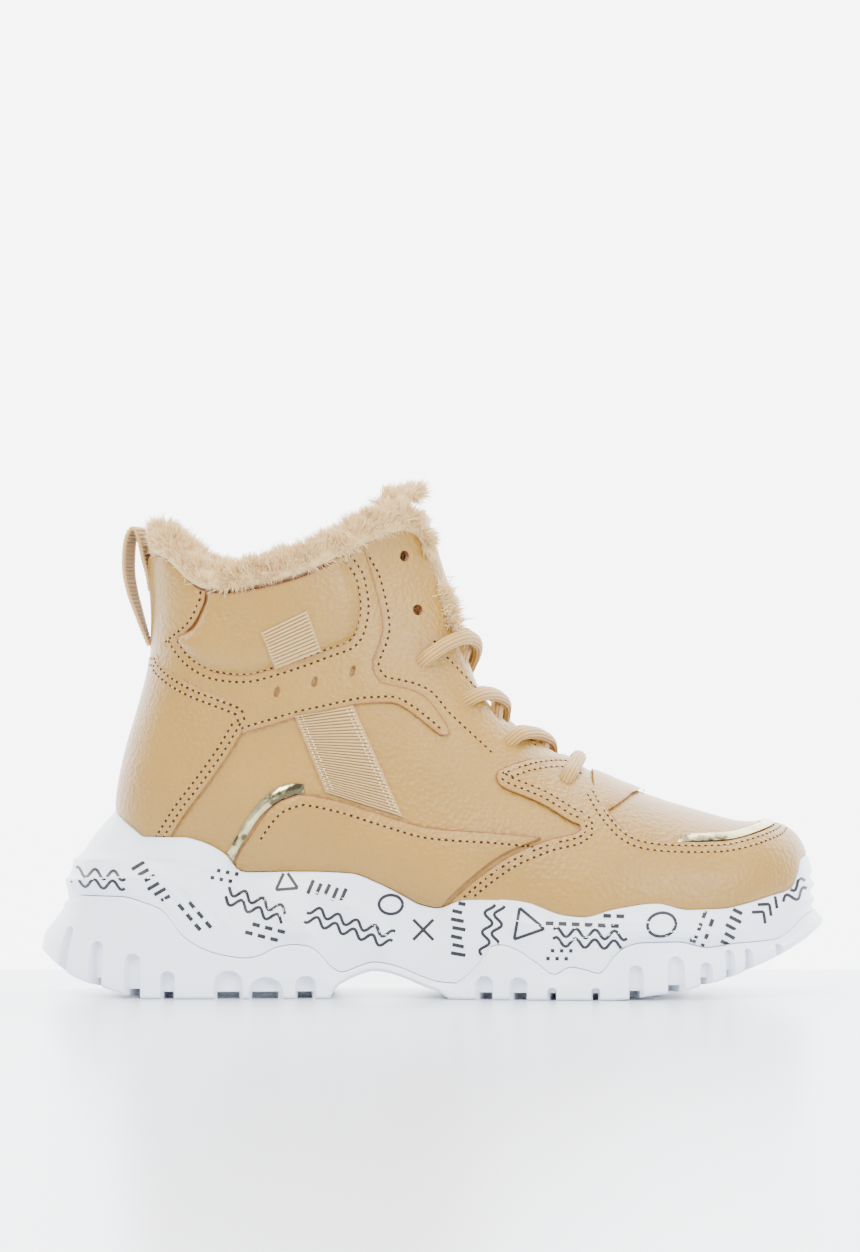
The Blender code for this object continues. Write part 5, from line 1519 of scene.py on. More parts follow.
def new_finish(name, **values):
    """An empty material with one shader; values are its sockets."""
    material = bpy.data.materials.new(name)
    material.use_nodes = True
    tree = material.node_tree
    tree.nodes.clear()
    skin = add_node(tree, "ShaderNodeBsdfPrincipled",
                    inputs={key.replace("_", " "): value for key, value in values.items()})
    add_node(tree, "ShaderNodeOutputMaterial", links={"Surface": skin.outputs["BSDF"]})
    place = add_node(tree, "ShaderNodeTexCoord").outputs["Object"]
    return material, tree, skin, place


def blend_colours(tree, skin, factor, stops):
    """Colours the shader by a ramp over a pattern. A stop is a place and a linear colour."""
    ramp = add_node(tree, "ShaderNodeValToRGB", links={"Fac": factor})
    while len(ramp.color_ramp.elements) < len(stops):
        ramp.color_ramp.elements.new(0.5)
    for element, (place, colour) in zip(ramp.color_ramp.elements, stops):
        element.position = place
        element.color = colour
    tree.links.new(ramp.outputs["Color"], skin.inputs["Base Color"])
    return ramp


def shaded(colour, factor):
    """A colour made darker or lighter."""
    return (*(min(1.0, value * factor) for value in colour[:3]), 1.0)


def add_relief(tree, skin, height, distance, strength=1.0, under=None):
    links = {"Height": height}
    if under:
        links["Normal"] = under
    bump = add_node(tree, "ShaderNodeBump", inputs={"Distance": distance, "Strength": strength},
                    links=links)
    tree.links.new(bump.outputs["Normal"], skin.inputs["Normal"])
    return bump.outputs["Normal"]


def make_leather():
    # Corrected grain leather, rolled with a fine pebble and finished with a satin resin: an
    # even tan with small soft glints on every grain. The grain is drawn a little coarse to show.
    base = chosen().leather
    material, tree, skin, place = new_finish(
        "pebbled_leather", Roughness=0.40, Coat_Weight=0.12, Coat_Roughness=0.30)
    cells = add_node(tree, "ShaderNodeTexVoronoi", feature="SMOOTH_F1",
                     inputs={"Scale": 1 / 0.0016, "Smoothness": 0.4}, links={"Vector": place})
    fine = add_node(tree, "ShaderNodeTexNoise", inputs={"Scale": 1 / 0.0009, "Detail": 3.0},
                    links={"Vector": place})
    broad = add_node(tree, "ShaderNodeTexNoise", inputs={"Scale": 1 / 0.03, "Detail": 2.0},
                     links={"Vector": place})
    blend_colours(tree, skin, broad.outputs["Fac"],
                  ((0.30, shaded(base, 0.94)), (0.52, base), (0.72, shaded(base, 1.05))))
    first = add_relief(tree, skin, cells.outputs["Distance"], 0.00060, 0.55)
    add_relief(tree, skin, fine.outputs["Fac"], 0.00025, 0.30, first)
    return material


def make_cut_edge():
    # Raw cut edge of the leather, inked and burnished: it draws a thin darker line round
    # every overlay.
    base = chosen().edge
    material, tree, skin, place = new_finish("leather_edge", Roughness=0.55)
    fibre = add_node(tree, "ShaderNodeTexNoise", inputs={"Scale": 1 / 0.0014, "Detail": 3.0},
                     links={"Vector": place})
    blend_colours(tree, skin, fibre.outputs["Fac"], ((0.35, shaded(base, 0.8)), (0.65, shaded(base, 1.3))))
    add_relief(tree, skin, fibre.outputs["Fac"], 0.0002, 0.4)
    return material


def make_lining():
    # Brushed textile backing inside the shaft: matt and warm.
    base = linear("#B08462")
    material, tree, skin, place = new_finish("brushed_lining", Roughness=0.9, Sheen_Weight=0.3)
    nap = add_node(tree, "ShaderNodeTexNoise", inputs={"Scale": 1 / 0.0012, "Detail": 4.0},
                   links={"Vector": place})
    blend_colours(tree, skin, nap.outputs["Fac"], ((0.3, shaded(base, 0.8)), (0.7, shaded(base, 1.15))))
    add_relief(tree, skin, nap.outputs["Fac"], 0.0004, 0.6)
    return material


def make_rubber():
    # White injection-moulded rubber: a cool off-white with a fine satin mould texture.
    base = chosen().rubber
    material, tree, skin, place = new_finish("moulded_rubber", Roughness=0.36, IOR=1.5)
    grit = add_node(tree, "ShaderNodeTexNoise", inputs={"Scale": 1 / 0.0006, "Detail": 2.0},
                    links={"Vector": place})
    tone = add_node(tree, "ShaderNodeTexNoise", inputs={"Scale": 1 / 0.03, "Detail": 2.0},
                    links={"Vector": place})
    blend_colours(tree, skin, tone.outputs["Fac"], ((0.3, shaded(base, 0.97)), (0.7, base)))
    add_relief(tree, skin, grit.outputs["Fac"], 0.0001, 0.25)
    return material


def make_pile(name, factor):
    # Long acrylic pile: soft threads that scatter light, warm at the root, paler at the tip. A factor
    # under 1 gives a darker copy, used on the backing as painted shade deep under the strands.
    base = chosen().pile
    material, tree, skin, place = new_finish(
        name, Roughness=0.60, Sheen_Weight=0.35, Sheen_Roughness=0.45)
    tone = add_node(tree, "ShaderNodeTexNoise", inputs={"Scale": 1 / 0.0042, "Detail": 3.0},
                    links={"Vector": place})
    # a factor under 1 darkens the whole ramp: painted shade for the backing under the strands
    warm = (base[0] * factor, base[1] * factor * 0.90, base[2] * factor * 0.78, 1.0)
    blend_colours(tree, skin, tone.outputs["Fac"],
                  ((0.36, warm), (0.5, shaded(base, factor)), (0.64, shaded(base, factor * 1.12))))
    return material


def make_webbing():
    # Ribbed grosgrain tape, woven of matt polyester, with a fine slanting yarn on every rib. The
    # tape's own rib attribute says where the ribs stand: its colour is darkened in the furrows as painted shade and
    # lightened on the ribs as a painted highlight.
    base = chosen().webbing
    material, tree, skin, place = new_finish("grosgrain_tape", Roughness=0.70, Sheen_Weight=0.2)
    rib = add_node(tree, "ShaderNodeAttribute", attribute_name="rib")
    yarn = add_node(tree, "ShaderNodeTexNoise", inputs={"Scale": 1 / 0.0009, "Detail": 2.0},
                    links={"Vector": place})
    # painted shade in the furrows, painted highlight on the rib crests
    blend_colours(tree, skin, rib.outputs["Fac"],
                  ((0.10, shaded(base, 0.30)), (0.45, shaded(base, 0.85)), (0.9, shaded(base, 1.12))))
    add_relief(tree, skin, yarn.outputs["Fac"], 0.00015, 0.5)
    return material


def make_thread(name, code):
    # Bonded twisted sewing thread: a faint gloss along the twist.
    base = linear(code)
    material, tree, skin, place = new_finish(name, Roughness=0.5, Sheen_Weight=0.2)
    twist = add_node(tree, "ShaderNodeTexNoise", inputs={"Scale": 1 / 0.0005, "Detail": 1.0},
                     links={"Vector": place})
    blend_colours(tree, skin, twist.outputs["Fac"], ((0.35, shaded(base, 0.85)), (0.65, shaded(base, 1.1))))
    return material


def make_painted_hole_shade():
    # Needle holes beside each stitch: small blobs whose dark colour is painted shade of the pits, with no gloss.
    base = linear("#3A2814")
    material, tree, skin, place = new_finish("needle_hole", Roughness=0.9, Specular_IOR_Level=0.1)
    depth = add_node(tree, "ShaderNodeTexNoise", inputs={"Scale": 1 / 0.001}, links={"Vector": place})
    blend_colours(tree, skin, depth.outputs["Fac"], ((0.3, shaded(base, 0.8)), (0.7, shaded(base, 1.3))))
    return material


def make_lace():
    # Oval polyester lace with a ribbed, plaited cover: its colour is darkened in the furrows as painted shade and
    # lightened on the ribs as a painted highlight.
    base = chosen().lace
    material, tree, skin, place = new_finish("plaited_lace", Roughness=0.62, Sheen_Weight=0.2)
    rib = add_node(tree, "ShaderNodeAttribute", attribute_name="rib")
    plait = add_node(tree, "ShaderNodeTexNoise", inputs={"Scale": 1 / 0.0010, "Detail": 2.0},
                     links={"Vector": place})
    # painted shade in the furrows, painted highlight on the ribs
    blend_colours(tree, skin, rib.outputs["Fac"],
                  ((0.08, shaded(base, 0.50)), (0.40, shaded(base, 0.93)), (0.9, shaded(base, 1.12))))
    add_relief(tree, skin, plait.outputs["Fac"], 0.0002, 0.5)
    return material


def make_gold():
    # Hot-pressed metallic foil on leather: pale gold, mirroring softly, faintly crinkled. Its colour
    # is darkened and lightened in patches over the crinkle noise as a painted reflection of dark and bright
    # surroundings.
    base = chosen().gold
    material, tree, skin, place = new_finish("gold_foil", Roughness=0.20, Metallic=1.0)
    crinkle_and_reflection = add_node(tree, "ShaderNodeTexNoise", inputs={"Scale": 1 / 0.0085, "Detail": 3.0},
                      links={"Vector": place})
    # painted reflection: dark patches at 0.16 and bright ones at 1.15 of the gold stand in for reflected
    # surroundings
    blend_colours(tree, skin, crinkle_and_reflection.outputs["Fac"],
                  ((0.40, shaded(base, 0.16)), (0.46, shaded(base, 0.75)), (0.7, shaded(base, 1.15))))
    add_relief(tree, skin, crinkle_and_reflection.outputs["Fac"], 0.0008, 0.4)
    return material


def make_felt():
    # Napped cloth over the footbed foam: matt, with short loose fibre.
    base = linear("#C08F68")
    material, tree, skin, place = new_finish("napped_cloth", Roughness=0.95, Sheen_Weight=0.5)
    nap = add_node(tree, "ShaderNodeTexNoise", inputs={"Scale": 1 / 0.0009, "Detail": 5.0},
                   links={"Vector": place})
    blend_colours(tree, skin, nap.outputs["Fac"], ((0.3, shaded(base, 0.8)), (0.7, shaded(base, 1.15))))
    add_relief(tree, skin, nap.outputs["Fac"], 0.0006, 0.8)
    return material


def make_ink():
    # Screen-printed black ink on rubber: nearly matt, a little uneven.
    base = linear("#131318")
    material, tree, skin, place = new_finish("screen_ink", Roughness=0.5)
    tone = add_node(tree, "ShaderNodeTexNoise", inputs={"Scale": 1 / 0.002, "Detail": 3.0},
                    links={"Vector": place})
    blend_colours(tree, skin, tone.outputs["Fac"], ((0.3, shaded(base, 0.8)), (0.7, shaded(base, 1.4))))
    return material


def make_floor():
    # Pale laminate table top: nearly white, with a soft blurred reflection.
    base = linear("#E2E8EF")
    material, tree, skin, place = new_finish("pale_table", Roughness=0.22, Specular_IOR_Level=0.4)
    tone = add_node(tree, "ShaderNodeTexNoise", inputs={"Scale": 3.0}, links={"Vector": place})
    blend_colours(tree, skin, tone.outputs["Fac"], ((0.3, shaded(base, 0.98)), (0.7, base)))
    return material


def make_backdrop():
    # White paper backdrop lit from behind, as in a high-key studio.
    base = linear("#F5F5F5")
    material, tree, skin, place = new_finish("lit_backdrop", Roughness=0.95)
    skin.inputs["Emission Color"].default_value = linear("#FFFFFF")
    skin.inputs["Emission Strength"].default_value = 5.0
    tone = add_node(tree, "ShaderNodeTexNoise", inputs={"Scale": 1.0}, links={"Vector": place})
    blend_colours(tree, skin, tone.outputs["Fac"], ((0.3, shaded(base, 0.99)), (0.7, base)))
    return material


MAKERS = {
    "leather": make_leather, "edge": make_cut_edge, "lining": make_lining, "rubber": make_rubber,
    "webbing": make_webbing, "lace": make_lace, "gold": make_gold, "felt": make_felt,
    "ink": make_ink, "hole": make_painted_hole_shade, "floor": make_floor, "backdrop": make_backdrop,
    "thread": lambda: make_thread("tan_thread", "#B98A50"),
    "white_thread": lambda: make_thread("ivory_thread", "#E9DCC0"),
    "orange_thread": lambda: make_thread("orange_thread", "#B8592A"),
    "pile": lambda: make_pile("acrylic_pile", 1.0),
    # painted shade: the backing under the strands is the pile darkened to 0.72
    "shaded_pile_base": lambda: make_pile("pile_backing", 0.72),
}
FINISHES = {}


def finish_of(name):
    if name not in FINISHES:
        FINISHES[name] = MAKERS[name]()
    return FINISHES[name]


# Shared shapes

CACHE = {}


def form_tree():
    if "form" not in CACHE:
        solid = form_solid("form", 0.0, ROWS, COLUMNS)
        CACHE["form"] = tree_of(solid)
        drop(solid)
    return CACHE["form"]


def remember(*pieces):
    """Keeps a finished piece's faces for the seams that are sewn on it."""
    CACHE.setdefault("sewn", []).extend(pieces)


def sewn_tree():
    points, faces = [], []
    for piece in CACHE["sewn"]:
        base = len(points)
        points += [v.co.copy() for v in piece.data.vertices]
        faces += [[base + k for k in face.vertices] for face in piece.data.polygons]
    return BVHTree.FromPolygons(points, faces)


def put_in_frame(piece, slot, *nodes):
    if len(piece.data.polygons) == 0:
        raise RuntimeError(f"{piece.name} came out empty")
    if nodes:
        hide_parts(*nodes)
    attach(piece, "root")
    return piece


def cup_solid():
    """The sole's outside with no relief, taken away from the leather."""
    return midsole_mesh("cup", form_tree(), grow=0.0002, relief=False, count=8)


# Pieces


def build_sole():
    tree = form_tree()
    rubber = finish_of("rubber")
    outsole = outsole_mesh()
    for cutter in sole_cutters():
        combine(outsole, cutter, "DIFFERENCE")
    outsole.data.materials.clear()
    outsole.data.materials.append(rubber)
    put_in_frame(finish_mesh(outsole, 35), "white_rubber", "outsole")
    midsole = midsole_mesh("midsole_looks", tree)
    combine(midsole, form_solid("foot", GAP), "DIFFERENCE")
    midsole.data.materials.clear()
    midsole.data.materials.append(rubber)
    put_in_frame(finish_mesh(midsole, 50), "white_rubber", "midsole")
    CACHE["sole"] = tree_of(midsole)


def mark_strokes(kind, size):
    """Strokes of a printed mark round its middle, as lines with a width, in metres."""
    half = size / 2
    wide = 0.0011
    if kind == "waves":
        run = np.linspace(-half, half, 40)
        return [(np.stack([run, 0.0016 * np.sin(run * 2 * math.pi / 0.0068) + shift], 1), wide)
                for shift in (-0.0016, 0.0018)]
    if kind == "chevrons":
        return [(np.array([[k * 0.0034 - half, -0.0032], [k * 0.0034 - half + 0.0028, 0.0],
                           [k * 0.0034 - half, 0.0032]]), wide) for k in range(max(2, int(size / 0.0034)))]
    if kind == "dashes":
        strokes = []
        for row in (-0.0017, 0.0017):
            for k in range(int(size / 0.0046)):
                x = -half + 0.0046 * k + (0.0018 if row > 0 else 0)
                strokes.append((np.array([[x, row], [x + 0.0028, row]]), 0.0014))
        return strokes
    if kind == "bars":
        return [(np.array([[-half + 0.0030 * k, -0.0026 + 0.0006 * (k % 3)],
                           [-half + 0.0030 * k + 0.0008, 0.0026 - 0.0005 * (k % 2)]]), 0.0013)
                for k in range(int(size / 0.0030))]
    if kind == "dots":
        return [(np.array([[-half + 0.0032 * (k + 0.5 * (row > 0)), row],
                           [-half + 0.0032 * (k + 0.5 * (row > 0)) + 0.0013, row]]), 0.0013)
                for row in (-0.0014, 0.0014) for k in range(int(size / 0.0032))]
    if kind == "triangle":
        turn = np.radians([90, 210, 330, 90])
        return [(np.stack([np.cos(turn), np.sin(turn)], 1) * half, wide)]
    if kind == "ring":
        turn = np.linspace(0, 2 * math.pi, 25)
        return [(np.stack([np.cos(turn), 0.8 * np.sin(turn)], 1) * half * 0.6, wide)]
    if kind == "cross":
        return [(np.array([[-half, -half], [half, half]]) * 0.6, wide),
                (np.array([[-half, half], [half, -half]]) * 0.6, wide)]
    return [(np.array([[-half + 0.003 * k, -0.003], [-half + 0.003 * k + 0.0016, 0.003]]), 0.0009)
            for k in range(int(size / 0.003))]


def build_marks():
    """Generic strokes, dots and waves printed on both sides of the sole."""
    tree = CACHE["sole"]
    points, faces = [], []
    for kind, x, height, size, turn in MARKS:
        middle = np.array([float(along(x)), float(level(height))])
        c, s = math.cos(math.radians(turn)), math.sin(math.radians(turn))
        for stroke, wide in mark_strokes(kind, size):
            length = np.concatenate([[0], np.cumsum(np.linalg.norm(np.diff(stroke, axis=0), axis=1))])
            count = max(2, int(length[-1] / 0.0007))
            place = np.linspace(0, length[-1], count)
            line = np.stack([np.interp(place, length, stroke[:, k]) for k in (0, 1)], 1)
            way = np.gradient(line, axis=0)
            way /= np.linalg.norm(way, axis=1, keepdims=True) + 1e-12
            across = np.stack([-way[:, 1], way[:, 0]], 1) * wide / 2
            for side in (-1, 1):
                rows = []
                for a, b in zip(line - across, line + across):
                    spots = []
                    for p in (a, (a + b) / 2, b):
                        x1, z1 = middle + (p[0] * c - p[1] * s, p[0] * s + p[1] * c)
                        hit = surface_hit(tree, x1, z1, side)
                        if hit is None or abs(hit[1].y) < 0.25:
                            spots = None
                            break
                        normal = hit[1] if hit[1].y * side > 0 else -hit[1]
                        spots.append(hit[0] + normal * 0.00008)
                    rows.append(spots)
                for before, after in zip(rows, rows[1:]):
                    if before is None or after is None:
                        continue
                    base = len(points)
                    points += [tuple(p) for p in before + after]
                    for k in (0, 1):
                        quad = (base + k, base + k + 1, base + k + 4, base + k + 3)
                        faces.append(quad if side < 0 else quad[::-1])
    print_marks = mesh_object("sole_print", points, faces)
    shape = bmesh.new()
    shape.from_mesh(print_marks.data)
    bmesh.ops.remove_doubles(shape, verts=shape.verts, dist=1e-6)
    for face in shape.faces:
        face.normal_update()
        if face.normal.y * (-1 if face.calc_center_median().y < SHIFT else 1) < 0:
            face.normal_flip()
    shape.to_mesh(print_marks.data)
    shape.free()
    print_marks.data.materials.append(finish_of("ink"))
    put_in_frame(print_marks, None)


def build_upper():
    tree = form_tree()
    upper = shell_solid("upper_looks", 0.0, -WALL)
    upper.data.materials.append(finish_of("leather"))
    upper.data.materials.append(finish_of("edge"))
    upper.data.materials.append(finish_of("lining"))
    for cutter in (collar_cutter(), throat_cutter(), bottom_cutter(), eyelet_cutter(tree)):
        combine(upper, cutter, "DIFFERENCE")
    for face in upper.data.polygons:
        face.material_index = 0
    finish_mesh(upper)
    for face in upper.data.polygons:
        spot, normal, _, far = tree.find_nearest(face.center)
        if abs(face.normal.dot(normal)) < 0.62:
            face.material_index = 1
        elif far > WALL * 0.6:
            face.material_index = 2
    dress_edges(upper, tree, -WALL * 0.9, WALL * 0.5, 0.0012, 0.0)
    for face in upper.data.polygons:
        spot, normal, _, far = tree.find_nearest(face.center)
        if abs(face.normal.dot(normal)) >= 0.62:
            face.material_index = 2 if far > WALL * 0.6 else 0
    remember(upper)
    put_in_frame(upper, "leather", "upper")


def build_overlays():
    tree = form_tree()
    leather, edge = finish_of("leather"), finish_of("edge")
    cup = cup_solid()
    throat, top, holes = throat_cutter(), collar_cutter(), eyelet_cutter(tree)
    slots = slot_cutter()
    plan = (
        ("heel_counter", "heel_counter", HEEL_COUNTER, 0, (cup,)),
        ("heel_panel", None, HEEL_PANEL, 0, (top,)),
        ("toe_guard", "toe_guard", VAMP_GUARD, 0, (cup, throat, holes)),
        ("eyestay", "eyestay", EYESTAY_RUN, 0, (throat, top, holes)),
        ("throat_tab", None, THROAT_TAB, 0, ()),
        ("midfoot_strap_outer", "midfoot_strap_outer", STRAP_RUN, -1, (slots, top)),
        ("midfoot_strap_inner", "midfoot_strap_inner", STRAP_RUN, 1, (slots, top)),
        ("foxing_outer", "foxing_outer", FOXING, -1, (cup,)),
        ("foxing_inner", "foxing_inner", FOXING, 1, (cup,)),
    )
    for word, node, outline, side, cutters in plan:
        thick = UNDER_THICKNESS if outline in (EYESTAY_RUN, STRAP_RUN, THROAT_TAB) else OVERLAY
        piece = cut_piece(f"{word}_looks", outline, side, GAP, thick, cutters, tree, leather, edge)
        remember(piece)
        CACHE.setdefault("cut", []).append((piece, GAP, thick))
        put_in_frame(piece, "leather", *([node] if node else []))
    for tool in (throat, top, holes, slots, cup):
        drop(tool)


def build_pads():
    tree = form_tree()
    top = collar_cutter()
    for side, word in ((-1, "outer"), (1, "inner")):
        pad = cut_piece(f"collar_pad_{word}_looks", PAD_PANEL, side, GAP, PAD, (top,), tree,
                        finish_of("leather"), finish_of("edge"), radius=0.0024,
                        drop_share=0.62, pillow=PAD_SWELL)
        remember(pad)
        CACHE.setdefault("cut", []).append((pad, GAP, PAD * 0.5))
        put_in_frame(pad, "leather", f"collar_pad_{word}")
    drop(top)


def build_trims():
    tree = form_tree()
    gold = finish_of("gold")
    cup = cup_solid()
    toe = cut_piece("toe_trim_looks", TOE_STRIP, 0, GAP, TRIM + OVERLAY * 0.2, (cup,), tree, gold, gold)
    put_in_frame(toe, "gold_trim", "toe_trim")
    for side, word in ((-1, "outer"), (1, "inner")):
        strip = cut_piece(f"side_trim_{word}_looks", GOLD_RUN, side, GAP, TRIM + OVERLAY / 2, (cup,),
                          tree, gold, gold, radius=0.0024, drop_share=0.75)
        put_in_frame(strip, "gold_trim", f"side_trim_{word}")
    drop(cup)


def build_beads():
    """A fine inked bead along the cut edges of the leather."""
    tree, sole = form_tree(), CACHE["sole"]
    points, edges = [], []
    for piece, lift, thickness in CACHE["cut"]:
        mesh = piece.data
        beside = {}
        for face in mesh.polygons:
            for key in face.edge_keys:
                beside.setdefault(key, set()).add(face.material_index)
        rim = [key for key, found in beside.items() if found == {0, 1}]
        names = {}
        for index in {k for key in rim for k in key}:
            spot = mesh.vertices[index].co
            found, normal, _, far = tree.find_nearest(spot)
            near_sole = sole.find_nearest(spot)[3] < 0.0016
            if far > lift + thickness * 0.35 and not near_sole:
                names[index] = len(points)
                points.append(spot.copy())
        edges += [(names[a], names[b]) for a, b in rim if a in names and b in names]
    base = mesh_object("edge_beads", points, [], smooth=False)
    mesh = bpy.data.meshes.new("edge_beads")
    mesh.from_pydata([tuple(p) for p in points], edges, [])
    old = base.data
    base.data = mesh
    bpy.data.meshes.remove(old)
    tree = bpy.data.node_groups.new("edge_beads", "GeometryNodeTree")
    tree.interface.new_socket("Geometry", in_out="INPUT", socket_type="NodeSocketGeometry")
    radius = tree.interface.new_socket("Radius", in_out="INPUT", socket_type="NodeSocketFloat")
    spacing = tree.interface.new_socket("Spacing", in_out="INPUT", socket_type="NodeSocketFloat")
    tree.interface.new_socket("Geometry", in_out="OUTPUT", socket_type="NodeSocketGeometry")
    enter = add_node(tree, "NodeGroupInput")
    line = add_node(tree, "GeometryNodeMeshToCurve", links={"Mesh": enter.outputs["Geometry"]})
    even = add_node(tree, "GeometryNodeResampleCurve", mode="LENGTH",
                    links={"Curve": line.outputs["Curve"], "Length": enter.outputs["Spacing"]})
    ring = add_node(tree, "GeometryNodeCurvePrimitiveCircle", inputs={"Resolution": 5},
                    links={"Radius": enter.outputs["Radius"]})
    cord = add_node(tree, "GeometryNodeCurveToMesh", inputs={"Fill Caps": True}, links={
        "Curve": even.outputs["Curve"], "Profile Curve": ring.outputs["Curve"]})
    real = add_node(tree, "GeometryNodeRealizeInstances", links={"Geometry": cord.outputs["Mesh"]})
    paint = add_node(tree, "GeometryNodeSetMaterial", inputs={"Material": finish_of("edge")},
                     links={"Geometry": real.outputs["Geometry"]})
    add_node(tree, "NodeGroupOutput", links={"Geometry": paint.outputs["Geometry"]})
    bake_tree(base, tree, {radius: BEAD, spacing: 0.0012}, finish_of("edge"))
    put_in_frame(base, None)


def build_webbing():
    tree = sewn_tree()
    tape = finish_of("webbing")
    for side, word in ((-1, "outer"), (1, "inner")):
        tab = ribbed_patch(f"collar_tab_{word}_looks", COLLAR_TAB, 0.0003, tree, 12, side, tape)
        put_in_frame(tab, "webbing", f"collar_tab_{word}")
        strap = ribbed_patch(f"side_webbing_{word}_looks", SIDE_TAB, 0.0005, tree, 32, side, tape)
        put_in_frame(strap, "webbing", f"side_webbing_{word}")
        CACHE.setdefault("straps", []).append((side, tree_of(strap)))


def patch_mesh(name, low, high, spread, outer, inner, near, rows=90, columns=48):
    """A shell between two offsets of the form round its high or low side, with a round rim.
    Low and high are shares of the run of rings, and spread is the share of half the ring."""
    fine_rows, fine_columns = 220, 240
    skins = [offset_grid(out, fine_rows, fine_columns) for out in (outer, inner)]
    middle = fine_columns // 2 if near == "high" else 0
    place_r = np.linspace(low, high, rows) * (fine_rows - 1)
    turn = np.linspace(-spread, spread, columns) * fine_columns / 2 + middle
    points = []
    for skin in skins:
        for i in place_r:
            a, t = int(min(i, fine_rows - 2)), i - int(min(i, fine_rows - 2))
            row = skin[a] * (1 - t) + skin[a + 1] * t
            for k in turn:
                b, s = int(math.floor(k)), k - math.floor(k)
                points.append(row[b % fine_columns] * (1 - s) + row[(b + 1) % fine_columns] * s)
    size = rows * columns
    faces = []
    for i in range(rows - 1):
        for k in range(columns - 1):
            a, b = i * columns + k, i * columns + k + 1
            faces.append((a, b, b + columns, a + columns))
            faces.append((size + a + columns, size + b + columns, size + b, size + a))
        for k in (0, columns - 1):
            a, d = i * columns + k, (i + 1) * columns + k
            faces.append((a, d, size + d, size + a))
    for i in (0, rows - 1):
        for k in range(columns - 1):
            a, b = i * columns + k, i * columns + k + 1
            faces.append((a, b, size + b, size + a))
    return outward(mesh_object(name, points, faces)), np.array(points).reshape(2, rows, columns, 3)


def ring_share(height):
    """The share of the run of rings whose high point is at a level."""
    rows = section_rows(400)
    return float(np.argmax(rows[:, 3] > level(height))) / 399


def build_tongue():
    under = WALL + SEAT
    spread = 2 / 12
    tongue, _ = patch_mesh("tongue_looks", ring_share(1.06), ring_share(1.905), spread,
                           -under, -under - TONGUE, "high")
    tongue.data.materials.append(finish_of("leather"))
    finish_mesh(tongue)
    put_in_frame(tongue, "leather", "tongue")


def build_insole():
    rows = section_rows(400)
    last = float(np.argmax(rows[:, 0] < along(0.150))) / 399
    under = WALL + SEAT
    insole, _ = patch_mesh("insole_looks", 0.03, last, 1 / 3, -under, -under - INSOLE, "low", 120, 64)
    insole.data.materials.append(finish_of("felt"))
    finish_mesh(insole, 60)
    put_in_frame(insole, "insole_cloth", "insole")


def build_collar_fur():
    count = 150
    edge = collar_edge(count)
    under = WALL + SEAT
    rows = []
    for k, (x, y, z, nx, ny, nz, fx, fy, fz) in enumerate(edge):
        end = min(k, count - 1 - k) / 16
        full = min(1.0, 0.35 + 0.65 * end, max(0.10, (abs(y - SHIFT) - LOOP_WIDTH * 0.6) / FUR_DEPTH))
        deep = min(1.0, 0.1 + 0.9 * max(0.0, end - 0.3))
        rise = FUR_RISE * (0.80 + 0.06 * math.sin(k * 0.21)) * min(1.0, 0.6 + 0.4 * end)
        depth = under + (FUR_DEPTH * 0.8 - under) * deep
        out = np.array([nx, ny, 0])
        out /= np.linalg.norm(out)
        top = np.array([x, y, z + 0.0003])
        foot = np.array([fx, fy, fz])
        turn = np.linspace(0, 1, 9)
        profile = [(0.0002, 0.0003)]
        for t in turn:
            a = math.pi * t
            wide = (FUR_BULGE * full + depth) / 2
            middle = (FUR_BULGE * full - depth) / 2
            profile.append((middle + wide * math.cos(a), 0.22 * rise + 0.72 * rise * math.sin(a)))
        row = [np.array([x, y, z]) + out * o + np.array([0, 0, u]) for o, u in profile]
        row.append(foot - out * (depth + 0.001))
        row.append(foot - out * (under + 0.0001))
        row.append(top - out * (under + 0.0001))
        rows.append(row)
    size = len(rows[0])
    faces = []
    for r in range(count - 1):
        for k in range(size):
            n = (k + 1) % size
            faces.append((r * size + k, r * size + n, (r + 1) * size + n, (r + 1) * size + k))
    faces.append(list(range(size)))
    faces.append([(count - 1) * size + k for k in reversed(range(size))])
    base = outward(mesh_object("collar_pile_backing", [p for row in rows for p in row], faces))
    base.data.materials.append(finish_of("shaded_pile_base"))
    put_in_frame(base, "fur", "fur_collar")
    rng = np.random.default_rng(11)
    grid = np.array(rows)
    share_up = np.concatenate([np.full(1, 0.0), np.linspace(0, 1, size - 1)])
    roots, ways = [], []
    number = strand_count(FUR_STRANDS)
    for _ in range(number):
        r = rng.uniform(0, count - 1.001)
        c = rng.uniform(0.2, size - 3.2)
        i, k = int(r), int(c)
        s, t = r - i, c - k
        a = grid[i, k] * (1 - t) + grid[i, k + 1] * t
        b = grid[i + 1, k] * (1 - t) + grid[i + 1, k + 1] * t
        spot = a * (1 - s) + b * s
        run = grid[i + 1, k] - grid[i, k]
        up = grid[i, k + 1] - grid[i, k]
        normal = np.cross(run, up)
        normal /= np.linalg.norm(normal) + 1e-12
        middle = grid[i, 1:-3].mean(axis=0)
        if normal @ (spot - middle) < 0:
            normal = -normal
        lean = 0.35 if c < 5 else -0.1
        back = max(0.0, -normal[0]) * (c < 5)
        way = normal * (1 - 0.5 * back) + np.array([0, 0, lean + 0.6 * back])
        if c < 1.6:
            way = way + np.array([0, 0, 0.15])
        reach = 0.55 if c < 1.6 else 1.0
        roots.append(spot - normal * (0.0006 + (1 - reach) * 0.003))
        ways.append(way / np.linalg.norm(way))
    roots, ways = np.array(roots), np.array(ways)
    part = np.arange(len(roots)) % 3
    for k in range(3):
        chosen_roots = roots[part == k]
        lengths = np.full(len(chosen_roots), trimmings().strand_length)
        pile = hairs(f"collar_pile_{k + 1}", chosen_roots, ways[part == k], lengths, STRAND_WIDTH,
                     (0.15, 0.35), finish_of("pile"), rng)
        put_in_frame(pile, "fur")


